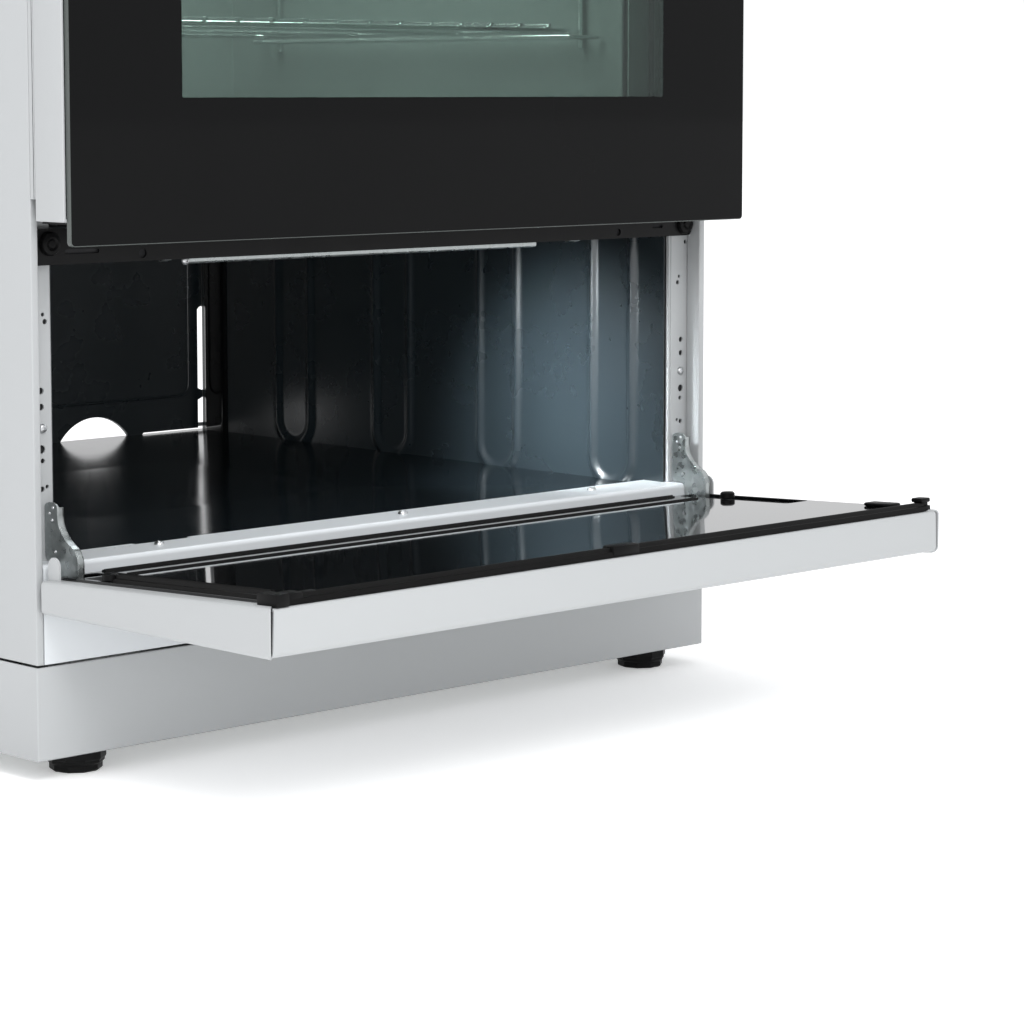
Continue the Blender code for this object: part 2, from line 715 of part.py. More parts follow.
# ---------------------------------------------------------------- storage flap
def storage_flap():
    """Drop-down front of the compartment: a pan and the black panel inside it."""
    axis = axis_empty("storage_flap_axis", FLAP_PIVOT)
    low = (-FLAP_HALF, -FLAP_REACH, FLAP_BOTTOM)
    high = (FLAP_HALF, FLAP_REAR_Y, FLAP_FRONT_TOP)
    pan = open_shell("flap_pan", low, high, SHEET, (0, 0, 1), WHITE, axis)
    drop = FLAP_FRONT_TOP - FLAP_REAR_TOP
    for vertex in pan.data.vertices:
        if vertex.co.z > 0 and vertex.co.y > 0:
            vertex.co.z -= drop
    slope = drop / (FLAP_REACH + FLAP_REAR_Y)

    def lid(y, depth):
        """Height of the pan's rim at y, less depth."""
        return FLAP_REAR_TOP + (FLAP_REAR_Y - y) * slope - depth

    side = FLAP_HALF - SHEET - CLEAR
    near, far = -FLAP_REACH + SHEET + CLEAR, FLAP_REAR_Y - SHEET - CLEAR
    panel_front = near + TRIM_WIDTH
    path = [
        (panel_front, lid(panel_front, PANEL_SINK)),
        (far, lid(far, PANEL_SINK)),
        (far, lid(far, PANEL_SINK + PANEL_THICK)),
        (panel_front, lid(panel_front, PANEL_SINK + PANEL_THICK)),
    ]
    panel = as_mesh(outline("flap_panel", [path], "X", -side, side, BLACK, axis))
    for s in (-1, 1):
        xs = sorted((s * (side - ARM_NOTCH), s * HALF))
        cut_box(panel, (xs[0], ARM_NOTCH_Y, 0.10), (xs[1], 0.01, 0.15), axis)


def flap_arms():
    """Bent arms from the columns down to the flap's pivots, each ending in an eye."""
    y, z = FLAP_PIVOT[1], FLAP_PIVOT[2]
    radius = 0.0048
    back = COLUMN_FACE_Y - CLEAR
    eye = [
        (y + radius * math.cos(a), z + radius * math.sin(a))
        for a in [math.pi * (0.75 + i / 6) for i in range(7)]
    ]
    path = eye + [
        (back, 0.1520),
        (back, 0.1800),
        (back - 0.0100, 0.1800),
        (back - 0.0100, 0.1600),
    ]
    pin = ring_points(0.0021, (y, z), 12)
    for side, s in SIDES:
        xs = (s * ARM_X - ARM_WIDTH / 2, s * ARM_X + ARM_WIDTH / 2)
        outline(f"flap_arm_{side}", [path, pin], "X", *xs, STEEL)


# ---------------------------------------------------------------- controls and hob
def controls():
    """Fascia with its stems and knobs, and the gas rail with the valves behind it."""
    front = -FRONT_PROUD
    low, high = (-HALF, front, FASCIA_BOTTOM), (HALF, -FASCIA_GAP, FASCIA_TOP)
    fascia = open_shell("control_fascia", low, high, FASCIA_WALL, (0, 1, 0), WHITE)
    rail = as_mesh(gas_rail())
    for number, x in enumerate(KNOB_XS, start=1):
        hole = (x, front, KNOB_Z)
        cut_round(fascia, STEM_RADIUS + 0.0010, hole, 0.01, AXIS_TURN["Y"], sides=16)
        low = (x - 0.014, VALVE_FRONT_Y, KNOB_Z - 0.012)
        high = (x + 0.014, GAS_RAIL_Y + 0.0085, GAS_RAIL_Z + 0.0090)
        combine(rail, box(f"valve_{number}", low, high, None), "UNION", "MANIFOLD")
        knob_and_stem(number, x)


def gas_rail():
    """Gas rail across the front and its supply pipe along the side to the rear inlet."""
    points = [
        (KNOB_XS[0] - 0.030, GAS_RAIL_Y, GAS_RAIL_Z),
        (GAS_INLET_X, GAS_RAIL_Y, GAS_RAIL_Z),
        (GAS_INLET_X, BODY_DEPTH - 0.0015, GAS_RAIL_Z),
    ]
    return tube("gas_rail", points, GAS_PIPE_RADIUS, ALUMINIUM)


def knob_and_stem(number, x):
    """A stem that slides in to release the tap, and the knob that turns on it."""
    front = -FRONT_PROUD
    push = axis_empty(f"stem_{number}_axis", (x, front, KNOB_Z))
    length = VALVE_FRONT_Y - CLEAR - STEM_PUSH - front
    profile = [(0.0, 0.001), (STEM_RADIUS, 0.001), (STEM_RADIUS, -length), (0.0, -length)]
    position = (x, front, KNOB_Z)
    turned(f"knob_stem_{number}", profile, position, STEEL, push, 12, AXIS_TURN["Y"])
    base, tip = 0.0045, 0.0045 + KNOB_DEPTH
    profile = [
        (0.0, tip),
        (KNOB_RADIUS - 0.004, tip),
        (KNOB_RADIUS - 0.002, tip - 0.002),
        (KNOB_RADIUS, base),
        (KNOB_RADIUS - 0.002, base - 0.0005),
        (0.0, base - 0.0005),
    ]
    turned(f"knob_{number}", profile, position, IRON, push, 24, AXIS_TURN["Y"])


def hob():
    """Pressed hob tray with burner openings, burners, grates and the rear upstand."""
    tray_low = (-HALF, -FRONT_PROUD, HOB_HEIGHT - HOB_EDGE)
    tray_high = (HALF, BODY_DEPTH, HOB_HEIGHT)
    tray = open_shell("hob_tray", tray_low, tray_high, SHEET, (0, 0, -1), ENAMEL)
    for name, x, y, radius in BURNERS:
        cut_round(tray, radius * 0.6 + 0.001, (x, y, HOB_HEIGHT), 0.02)
        burner(name, x, y, radius)
    for side, s in SIDES:
        grate(side, s)
    riser()


def burner(name, x, y, radius):
    """Burner head seated in the tray and the loose cap on top of it."""
    z = HOB_HEIGHT + CLEAR
    neck = radius * 0.6
    profile = [
        (0.0, BURNER_HEAD),
        (radius * 0.92, BURNER_HEAD),
        (radius, BURNER_HEAD * 0.55),
        (radius * 0.85, 0.0),
        (neck, 0.0),
        (neck, -0.016),
        (0.0, -0.016),
    ]
    turned(f"burner_head_{name}", profile, (x, y, z), ALUMINIUM, None, 24)
    cap_z = z + BURNER_HEAD + CLEAR
    axis = axis_empty(f"burner_cap_{name}_axis", (x, y, cap_z))
    profile = [
        (0.0, BURNER_CAP),
        (radius * 0.80, BURNER_CAP),
        (radius * 0.94, BURNER_CAP * 0.5),
        (radius * 0.94, 0.0),
        (0.0, 0.0),
    ]
    turned(f"burner_cap_{name}", profile, (x, y, cap_z), IRON, axis, 24)


def finger_hole(x0, x1, y0, y1, clear_radius):
    """A rectangular hole with a finger from the middle of each side towards its centre."""
    cx, cy, h = (x0 + x1) / 2, (y0 + y1) / 2, GRATE_BAR / 2
    return [
        (x0, y0), (cx - h, y0), (cx - h, cy - clear_radius), (cx + h, cy - clear_radius),
        (cx + h, y0), (x1, y0), (x1, cy - h), (cx + clear_radius, cy - h),
        (cx + clear_radius, cy + h), (x1, cy + h), (x1, y1), (cx + h, y1),
        (cx + h, cy + clear_radius), (cx - h, cy + clear_radius), (cx - h, y1), (x0, y1),
        (x0, cy + h), (cx - clear_radius, cy + h), (cx - clear_radius, cy - h), (x0, cy - h),
    ]


def grate(side, s):
    """Cast grate over the two burners of one side, on four legs."""
    x0, x1 = sorted((s * GRATE_INNER_X, s * GRATE_OUTER_X))
    y0, y1 = GRATE_FRONT_Y, GRATE_REAR_Y
    middle = (y0 + y1) / 2
    bar = GRATE_BAR
    holes = [
        finger_hole(x0 + bar, x1 - bar, y0 + bar, middle - bar / 2, FINGER_CLEAR),
        finger_hole(x0 + bar, x1 - bar, middle + bar / 2, y1 - bar, FINGER_CLEAR),
    ]
    low = GRATE_TOP - bar
    axis = axis_empty(f"grate_{side}_axis", ((x0 + x1) / 2, middle, GRATE_TOP))
    loops = [rectangle(x0, x1, y0, y1)] + holes
    top = as_mesh(outline(f"grate_{side}", loops, "Z", low, GRATE_TOP, IRON, axis))
    for x in (x0, x1 - bar):
        for y in (y0, y1 - bar):
            inset = 0.0005
            leg_low = (x + inset, y + inset, HOB_HEIGHT + CLEAR)
            leg_high = (x + bar - inset, y + bar - inset, low + bar / 2)
            combine(top, box(f"{top.name}_leg", leg_low, leg_high, None, axis), "UNION")


def riser():
    """Low upstand behind the hob, open below and vented along its top."""
    low = (-HALF + 0.001, RISER_Y, HOB_HEIGHT + CLEAR)
    high = (HALF - 0.001, BODY_DEPTH, RISER_TOP)
    upstand = open_shell("rear_riser", low, high, SHEET, (0, 0, -1), WHITE)
    for i in range(RISER_SLOTS):
        x = (i - (RISER_SLOTS - 1) / 2) * RISER_SLOT_PITCH
        slot_low = (x - RISER_SLOT_PITCH * 0.36, RISER_Y + 0.022, RISER_TOP - 0.01)
        slot_high = (x + RISER_SLOT_PITCH * 0.36, RISER_Y + 0.030, RISER_TOP + 0.01)
        cut_box(upstand, slot_low, slot_high)


def smooth_round_pieces():
    """Smooth shading on turned meshes, with their corners kept sharp."""
    for obj in MODEL.objects:
        if obj.type == "MESH" and any(m.type == "SCREW" for m in obj.modifiers):
            obj.data.shade_smooth()


def main():
    start_scene()
    side_panels()
    back_panel()
    plinth_and_base()
    feet()
    front_posts()
    sill_rail()
    compartment()
    oven_rail()
    oven()
    oven_door()
    storage_flap()
    flap_arms()
    controls()
    hob()
    smooth_round_pieces()


main()
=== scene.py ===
"""Looks of the freestanding gas range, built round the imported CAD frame.

Everything is in metres. Pieces are modelled in the cabinet's own frame (x centred, y from the
cabinet's front plane towards the rear, z from the floor) and placed by the offset CABINET.
"""

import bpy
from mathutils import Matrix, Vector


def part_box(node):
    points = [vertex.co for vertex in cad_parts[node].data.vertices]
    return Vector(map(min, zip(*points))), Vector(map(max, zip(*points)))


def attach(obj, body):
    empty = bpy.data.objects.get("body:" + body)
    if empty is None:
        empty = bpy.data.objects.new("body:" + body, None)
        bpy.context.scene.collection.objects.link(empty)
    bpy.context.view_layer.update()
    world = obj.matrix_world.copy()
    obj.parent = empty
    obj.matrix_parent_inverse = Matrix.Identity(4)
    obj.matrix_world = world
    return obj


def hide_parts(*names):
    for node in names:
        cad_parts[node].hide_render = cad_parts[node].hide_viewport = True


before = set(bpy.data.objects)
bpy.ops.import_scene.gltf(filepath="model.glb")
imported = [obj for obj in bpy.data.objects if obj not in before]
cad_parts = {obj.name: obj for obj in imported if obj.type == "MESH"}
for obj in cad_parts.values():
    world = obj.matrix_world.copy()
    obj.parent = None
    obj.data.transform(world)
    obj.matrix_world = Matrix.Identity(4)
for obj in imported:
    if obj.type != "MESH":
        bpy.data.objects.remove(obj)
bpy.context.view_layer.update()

import bmesh
import bpy
import math
from mathutils import Matrix, Vector

# ---------------------------------------------------------------- sizes
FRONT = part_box("side_panel_left")[0].y
CABINET = Vector((0.0, FRONT, 0.0))
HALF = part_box("side_panel_right")[1].x
SHEET, THIN_SHEET = 0.0012, 0.0010
GAP_SHADE = 0.0010  # thickness of the dark sheets behind holes and seams
SIDES = (("left", -1), ("right", 1))
CORNERS = ("front_left", "front_right", "rear_left", "rear_right")


def span(node):
    """(lowest, highest) corner of a CAD node in the cabinet's frame."""
    low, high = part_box(node)
    return low - CABINET, high - CABINET


POST_LOW, POST_HIGH = span("front_post_right")
SILL_LOW, SILL_HIGH = span("lower_front")
FLOOR_LOW, FLOOR_HIGH = span("compartment_floor")
WALL_LOW, WALL_HIGH = span("compartment_wall_right")
RAIL_LOW, RAIL_HIGH = span("oven_rail")
GLASS_LOW, GLASS_HIGH = span("door_outer_glass")
FRAME_LOW, FRAME_HIGH = span("door_frame")
LINER_LOW, LINER_HIGH = span("oven_liner")
RACK_LOW, RACK_HIGH = span("oven_rack")
PAN_LOW, PAN_HIGH = span("flap_pan")
HOB_DECK = span("hob_tray")[1].z
FASCIA_FACE = span("control_fascia")[0].y
PLINTH_FOOT = span("plinth")[0].z
TURN_ROUND = Matrix.Rotation(math.pi, 4, "Z")


def round_span(node):
    """Centre, radius, lowest and highest corner of a round CAD node."""
    low, high = span(node)
    return (low + high) / 2, (high.x - low.x) / 2, low, high


def linked(name, data):
    """A new object in the scene."""
    obj = bpy.data.objects.new(name, data)
    bpy.context.scene.collection.objects.link(obj)
    return obj


def written(shape, mesh):
    """A worked mesh written back, and its working copy freed."""
    shape.to_mesh(mesh)
    shape.free()
    return mesh


# ---------------------------------------------------------------- camera, light and floor
def camera():
    """Low three-quarter view of the lower half of the range, from its front left."""
    tilt, turn = 5.82, 44.04
    data = bpy.data.cameras.new("camera")
    data.lens = 110.3
    data.sensor_width = 36.0
    data.shift_y = -0.1
    data.clip_end = 60.0
    obj = linked("camera", data)
    obj.location = (-1.4044, -1.7309, 0.4232)
    obj.rotation_euler = (math.radians(90.0 - tilt), 0.0, math.radians(-turn))
    bpy.context.scene.camera = obj


def area_light(name, place, target, width, height, power, colour=(1.0, 1.0, 1.0), spread=180.0):
    """A rectangular soft box at a place, turned to its target; its spread is in degrees."""
    data = bpy.data.lights.new(name, "AREA")
    data.shape = "RECTANGLE"
    data.size = width
    data.size_y = height
    data.energy = power
    data.color = colour
    data.spread = math.radians(spread)
    obj = linked(name, data)
    obj.location = place
    aim = Vector(target) - Vector(place)
    obj.rotation_euler = aim.to_track_quat("-Z", "Y").to_euler()


def studio():
    """White surround, three soft boxes, the oven's lamp and two small ones below it."""
    world = bpy.data.worlds.new("studio")
    world.use_nodes = True
    background = world.node_tree.nodes["Background"]
    background.inputs["Color"].default_value = (0.985, 0.99, 1.0, 1.0)
    background.inputs["Strength"].default_value = 1.02
    bpy.context.scene.world = world
    area_light("overhead", (0.0, -0.4, 4.2), (0.0, 0.0, 0.0), 5.0, 5.0, 16.0)
    area_light("key_box", (-0.95, -1.70, 1.75), (0.0, -0.15, 0.15), 0.9, 0.9, 23.0)
    area_light("front_left_box", (-1.5, -1.5, 0.55), (0.22, 0.10, 0.20), 0.9, 0.9, 5.0)
    lamp_y = FRONT + LINER_LOW.y + 0.20
    area_light("oven_lamp", (0.0, lamp_y, LINER_HIGH.z - 0.01), (0.0, lamp_y, 0.0),
               0.36, 0.30, 5.2, (0.97, 1.0, 0.985))
    area_light("compartment_lamp", (0.0, FRONT + 0.045, 0.3080), (0.0, FRONT + 0.10, 0.10),
               0.40, 0.035, 0.30, (0.92, 0.97, 1.0))
    area_light("wall_lamp", (0.05, FRONT + 0.12, 0.3050), (0.274, FRONT + 0.11, 0.165), 0.05, 0.05,
               0.42, (0.90, 0.97, 1.0), 62.0)


def floor():
    """A pale floor, a hair under the feet so that the two never share a plane."""
    shape = bmesh.new()
    bmesh.ops.create_grid(shape, x_segments=1, y_segments=1, size=30.0)
    obj = linked("floor", written(shape, bpy.data.meshes.new("floor")))
    obj.location = (0.0, 0.0, -0.0002)
    obj.data.materials.append(floor_material())


# ---------------------------------------------------------------- materials
def new_material(name):
    """A Principled material and its tree; textures are laid out in the object's own metres."""
    material = bpy.data.materials.new(name)
    material.use_nodes = True
    tree = material.node_tree
    where = tree.nodes.new("ShaderNodeTexCoord").outputs["Object"]
    return material, tree, tree.nodes["Principled BSDF"], where


def noise(tree, where, scale, detail=3.0, stretch=None, rough=0.5):
    """Noise value with its features about 1 / scale metres across."""
    if stretch:
        mapping = tree.nodes.new("ShaderNodeMapping")
        mapping.inputs["Scale"].default_value = stretch
        tree.links.new(where, mapping.inputs["Vector"])
        where = mapping.outputs["Vector"]
    node = tree.nodes.new("ShaderNodeTexNoise")
    node.inputs["Scale"].default_value = scale
    node.inputs["Detail"].default_value = detail
    node.inputs["Roughness"].default_value = rough
    tree.links.new(where, node.inputs["Vector"])
    return node.outputs["Fac"]


def ramp(tree, value, stops):
    """Colour ramp through (position, colour) stops."""
    node = tree.nodes.new("ShaderNodeValToRGB")
    elements = node.color_ramp.elements
    while len(elements) < len(stops):
        elements.new(0.5)
    for element, (position, colour) in zip(elements, stops):
        element.position = position
        element.color = (*colour, 1.0)
    tree.links.new(value, node.inputs["Fac"])
    return node.outputs["Color"]


def remap(tree, value, low, high, start=0.3, end=0.7):
    node = tree.nodes.new("ShaderNodeMapRange")
    node.inputs["From Min"].default_value = start
    node.inputs["From Max"].default_value = end
    node.inputs["To Min"].default_value = low
    node.inputs["To Max"].default_value = high
    tree.links.new(value, node.inputs["Value"])
    return node.outputs["Result"]


def surface(tree, shader, colour, sheen, relief, depth):
    """Feeds a shader its colour, its roughness if it varies, and relief of a depth in metres."""
    tree.links.new(colour, shader.inputs["Base Color"])
    if sheen:
        tree.links.new(sheen, shader.inputs["Roughness"])
    node = tree.nodes.new("ShaderNodeBump")
    node.inputs["Strength"].default_value = 1.0
    node.inputs["Distance"].default_value = depth
    tree.links.new(relief, node.inputs["Height"])
    tree.links.new(node.outputs["Normal"], shader.inputs["Normal"])


def shades(colour, spread):
    """The same colour a little darker and a little lighter, as ramp stops."""
    return [(0.3, tuple(c * (1.0 - spread) for c in colour)),
            (0.7, tuple(c * (1.0 + spread) for c in colour))]


def coated(name, colour, roughness, spread=0.015, peel=0.000012, peel_scale=520.0, specular=0.5,
           wander=0.15):
    """Powder coat, enamel or moulded plastic: faint colour clouds and orange peel."""
    material, tree, shader, where = new_material(name)
    shader.inputs["Specular IOR Level"].default_value = specular
    surface(tree, shader, ramp(tree, noise(tree, where, 7.0), shades(colour, spread)),
            remap(tree, noise(tree, where, 31.0), roughness * (1 - wander),
                  roughness * (1 + wander)), noise(tree, where, peel_scale, 2.0), peel)
    return material


def speckled(name, colour, fleck, roughness):
    """Vitreous enamel with small flecks."""
    material, tree, shader, where = new_material(name)
    flecks = noise(tree, where, 420.0, 1.0)
    surface(tree, shader, ramp(tree, flecks, [(0.60, colour), (0.66, fleck)]),
            remap(tree, noise(tree, where, 14.0), roughness * 0.8, roughness * 1.25),
            noise(tree, where, 160.0, 2.0), 0.00003)
    return material


def metal(name, colour, roughness, stretch=None, scale=60.0, spread=0.06, grain=0.000006):
    """Bare or plated metal; stretch draws its grain out along one axis."""
    material, tree, shader, where = new_material(name)
    shader.inputs["Metallic"].default_value = 1.0
    grains = noise(tree, where, scale, 4.0, stretch, 0.6)
    surface(tree, shader, ramp(tree, grains, shades(colour, spread)),
            remap(tree, grains, roughness * 0.75, roughness * 1.3), grains, grain)
    return material


def galvanised(name):
    """Zinc plating with its spangle of crystal patches."""
    material, tree, shader, where = new_material(name)
    shader.inputs["Metallic"].default_value = 0.9
    spangle = tree.nodes.new("ShaderNodeTexVoronoi")
    spangle.inputs["Scale"].default_value = 260.0
    tree.links.new(where, spangle.inputs["Vector"])
    grey = tree.nodes.new("ShaderNodeRGBToBW")
    tree.links.new(spangle.outputs["Color"], grey.inputs["Color"])
    cloudy = noise(tree, where, 90.0, 4.0)
    mixed = tree.nodes.new("ShaderNodeMath")
    mixed.operation = "MULTIPLY"
    tree.links.new(grey.outputs["Val"], mixed.inputs[0])
    tree.links.new(cloudy, mixed.inputs[1])
    patches = mixed.outputs["Value"]
    stops = [(0.05, (0.30, 0.325, 0.325)), (0.30, (0.37, 0.395, 0.395)),
             (0.55, (0.44, 0.465, 0.465))]
    surface(tree, shader, ramp(tree, patches, stops), remap(tree, patches, 0.26, 0.44, 0.1, 0.5),
            cloudy, 0.00002)
    return material


def casting(name):
    """Matt enamelled cast iron with its coarse skin."""
    material, tree, shader, where = new_material(name)
    grain = noise(tree, where, 700.0, 5.0)
    surface(tree, shader, ramp(tree, grain, shades((0.018, 0.018, 0.019), 0.35)),
            remap(tree, grain, 0.42, 0.66), grain, 0.00012)
    return material


def rubber(name, colour, roughness):
    """Moulded rubber with a fine grain."""
    material, tree, shader, where = new_material(name)
    shader.inputs["Specular IOR Level"].default_value = 0.10
    grain = noise(tree, where, 900.0, 3.0)
    surface(tree, shader, ramp(tree, noise(tree, where, 40.0), shades(colour, 0.2)),
            remap(tree, grain, roughness * 0.85, roughness * 1.15), grain, 0.00004)
    return material


def see_through(name, tint, gloss, share, body):
    """Thin tinted glass: light passes straight through the tint, with a sharp reflection.

    share is how much of the surface is not clear, body is that part's colour.
    """
    material, tree, shader, where = new_material(name)
    shader.inputs["Base Color"].default_value = (*body, 1.0)
    shader.inputs["Roughness"].default_value = 0.04
    shader.inputs["Specular IOR Level"].default_value = gloss
    clear = tree.nodes.new("ShaderNodeBsdfTransparent")
    clear.inputs["Color"].default_value = (*tint, 1.0)
    mix = tree.nodes.new("ShaderNodeMixShader")
    film = remap(tree, noise(tree, where, 9.0), share * 0.97, share * 1.03)
    tree.links.new(film, mix.inputs["Fac"])
    tree.links.new(clear.outputs["BSDF"], mix.inputs[1])
    tree.links.new(shader.outputs["BSDF"], mix.inputs[2])
    tree.links.new(mix.outputs["Shader"], tree.nodes["Material Output"].inputs["Surface"])
    return material


def wool(name):
    """Mineral wool, its fibres drawn out sideways."""
    material, tree, shader, where = new_material(name)
    shader.inputs["Roughness"].default_value = 0.95
    fibres = noise(tree, where, 240.0, 6.0, (1.0, 1.0, 4.0), 0.7)
    stops = [(0.3, (0.42, 0.36, 0.22)), (0.7, (0.70, 0.64, 0.48))]
    surface(tree, shader, ramp(tree, fibres, stops), None, fibres, 0.0012)
    return material


def floor_material():
    material, tree, shader, where = new_material("pale_floor")
    tone = ramp(tree, noise(tree, where, 0.8),
                [(0.3, (0.93, 0.93, 0.935)), (0.7, (0.95, 0.95, 0.95))])
    tree.links.new(tone, shader.inputs["Base Color"])
    shader.inputs["Roughness"].default_value = 0.75
    shader.inputs["Emission Color"].default_value = (1.0, 1.0, 1.0, 1.0)
    shader.inputs["Emission Strength"].default_value = 0.30
    return material


# how each material is made: its maker and what the maker takes after the name
RECIPES = {
    "white_paint": (coated, (0.400, 0.412, 0.419), 0.33, 0.003, 0.000004, 700.0, 0.35, 0.03),
    # the white paint made lighter for the sill: painted light for its brightly lit deck and face
    "white_trim": (coated, (0.620, 0.644, 0.664), 0.30, 0.003, 0.000004, 700.0, 0.4, 0.03),
    "black_enamel": (coated, (0.0185, 0.0260, 0.0310), 0.28, 0.06, 0.000001, 240.0, 0.8, 0.06),
    "floor_enamel": (coated, (0.0060, 0.0085, 0.0105), 0.13, 0.06, 0.000004, 160.0, 0.55, 0.10),
    "mirror_enamel": (coated, (0.0060, 0.0065, 0.0070), 0.045, 0.2, 0.000004, 60.0),
    "rail_paint": (coated, (0.0060, 0.0060, 0.0063), 0.38, 0.10, 0.00001, 900.0, 0.12),
    "grey_enamel": (speckled, (0.150, 0.172, 0.166), (0.20, 0.223, 0.217), 0.34),
    "frame_enamel": (speckled, (0.020, 0.022, 0.024), (0.06, 0.065, 0.07), 0.30),
    "hob_enamel": (speckled, (0.010, 0.010, 0.011), (0.028, 0.028, 0.030), 0.12),
    "black_glass": (coated, (0.0034, 0.0035, 0.0037), 0.045, 0.1, 0.000001, 8.0, 0.085),
    "glass_edge": (coated, (0.050, 0.058, 0.055), 0.25, 0.25, 0.00001, 90.0),
    "window_glass": (see_through, (0.84, 0.91, 0.885), 0.25, 0.30, (0.060, 0.072, 0.069)),
    "inner_glass": (see_through, (0.93, 0.98, 0.96), 0.25, 0.10, (0.05, 0.06, 0.058)),
    "galvanised": (galvanised,),
    "bare_steel": (metal, (0.56, 0.57, 0.58), 0.34, (1.0, 1.0, 9.0)),
    "chrome_wire": (metal, (0.66, 0.68, 0.68), 0.18, None, 120.0, 0.04),
    "satin_aluminium": (metal, (0.74, 0.745, 0.75), 0.30, (0.05, 1.0, 1.0), 900.0, 0.03),
    "burner_alloy": (metal, (0.60, 0.61, 0.62), 0.40, None, 500.0, 0.06, 0.00002),
    "cast_iron": (casting,),
    "rubber_black": (rubber, (0.0036, 0.0036, 0.0038), 0.42),
    "seal_black": (rubber, (0.0030, 0.0029, 0.0029), 0.34),
    "knob_plastic": (coated, (0.028, 0.028, 0.030), 0.30, 0.08, 0.00001, 700.0),
    "mark_grey": (coated, (0.16, 0.165, 0.17), 0.50, 0.05),
    "mark_white": (coated, (0.80, 0.80, 0.80), 0.45, 0.03),
    "gap_shadow": (coated, (0.010, 0.010, 0.012), 0.80, 0.2),
    "mineral_wool": (wool,),
}
MATERIALS = {name: make(name, *rest) for name, (make, *rest) in RECIPES.items()}


# ---------------------------------------------------------------- shape makers
WELD = 0.00001
SHARP_ANGLE = 38.0
AXIS_TURN = {
    "Z": Matrix.Identity(4),
    "Y": Matrix.Rotation(math.pi / 2, 4, "X"),
    "X": Matrix.Rotation(math.pi / 2, 4, "Z") @ Matrix.Rotation(math.pi / 2, 4, "X"),
}


def evaluated(obj):
    """The welded mesh that an object's curve or modifier gives; the object goes."""
    bpy.context.view_layer.update()
    result = obj.evaluated_get(bpy.context.evaluated_depsgraph_get())
    mesh = bpy.data.meshes.new_from_object(result)
    bpy.data.objects.remove(obj)
    shape = bmesh.new()
    shape.from_mesh(mesh)
    bmesh.ops.remove_doubles(shape, verts=shape.verts, dist=WELD)
    bmesh.ops.recalc_face_normals(shape, faces=shape.faces)
    return written(shape, mesh)


def plate(loops, along, start, end):
    """A flat outline with holes, extruded along an axis from start to end.

    Loops hold (x, y) points for Z, (x, z) for Y and (y, z) for X; later loops are holes.
    """
    curve = bpy.data.curves.new("plate", "CURVE")
    curve.dimensions = "2D"
    curve.fill_mode = "BOTH"
    curve.extrude = abs(end - start) / 2
    for loop in loops:
        spline = curve.splines.new("POLY")
        spline.points.add(len(loop) - 1)
        for point, (a, b) in zip(spline.points, loop):
            point.co = (a, b, 0.0, 1.0)
        spline.use_cyclic_u = True
    mesh = evaluated(linked("plate", curve))
    middle = (start + end) / 2
    offset = {"Z": (0.0, 0.0, middle), "Y": (0.0, middle, 0.0), "X": (middle, 0.0, 0.0)}
    mesh.transform(Matrix.Translation(offset[along]) @ AXIS_TURN[along])
    return mesh


def tube(points, radius, cyclic=False, smooth=True, resolution=3):
    """A round wire or bar through its points, on a smooth curve or in straight runs."""
    curve = bpy.data.curves.new("tube", "CURVE")
    curve.dimensions = "3D"
    curve.bevel_depth = radius
    curve.bevel_resolution = resolution
    curve.use_fill_caps = True
    spline = curve.splines.new("NURBS" if smooth else "POLY")
    spline.points.add(len(points) - 1)
    for point, position in zip(spline.points, points):
        point.co = (*position, 1.0)
    if smooth:
        spline.order_u = 3
        spline.use_endpoint_u = True
        spline.resolution_u = 6
    spline.use_cyclic_u = cyclic
    return evaluated(linked("tube", curve))


def rectangle(x0, x1, y0, y1, radius=0.0, steps=5):
    """Corners of a rectangle, anticlockwise, rounded by radius."""
    if not radius:
        return [(x0, y0), (x1, y0), (x1, y1), (x0, y1)]
    points = []
    centres = ((x1 - radius, y0 + radius), (x1 - radius, y1 - radius),
               (x0 + radius, y1 - radius), (x0 + radius, y0 + radius))
    for quarter, centre in enumerate(centres):
        points += arc(centre, radius, math.pi / 2 * (quarter - 1), math.pi / 2 * quarter, steps)
    return points


def arc(centre, radius, start, end, steps=12):
    """Points of an arc between two angles in radians."""
    angles = [start + (end - start) * i / steps for i in range(steps + 1)]
    return [(centre[0] + radius * math.cos(a), centre[1] + radius * math.sin(a)) for a in angles]


def circle(centre, radius, sides=20):
    return arc(centre, radius, 0.0, 2 * math.pi, sides)[:-1]


def fillet(path, radius, steps=4):
    """The same open path with its inner corners rounded."""
    points = [Vector(p) for p in path]
    result = [tuple(points[0])]
    for before, corner, after in zip(points, points[1:], points[2:]):
        back, ahead = (before - corner), (after - corner)
        reach = min(radius, back.length * 0.45, ahead.length * 0.45)
        start, end = corner + back.normalized() * reach, corner + ahead.normalized() * reach
        for i in range(steps + 1):
            t = i / steps
            result.append(tuple(start * (1 - t) ** 2 + corner * 2 * t * (1 - t) + end * t ** 2))
    result.append(tuple(points[-1]))
    return result


def grid_mesh(rows):
    """A surface through rows of points, all rows equally long."""
    shape = bmesh.new()
    verts = [[shape.verts.new(p) for p in row] for row in rows]
    for upper, lower in zip(verts, verts[1:]):
        for i in range(len(upper) - 1):
            shape.faces.new((upper[i], upper[i + 1], lower[i + 1], lower[i]))
    return written(shape, bpy.data.meshes.new("grid"))


def solid_sheet(mesh, thickness):
    """Gives an open surface its thickness, away from the side that its normals face."""
    obj = linked("sheet", mesh)
    solidify = obj.modifiers.new("sheet", "SOLIDIFY")
    solidify.thickness = abs(thickness)
    solidify.offset = -1.0 if thickness > 0 else 1.0
    solidify.use_even_offset = True
    return evaluated(obj)


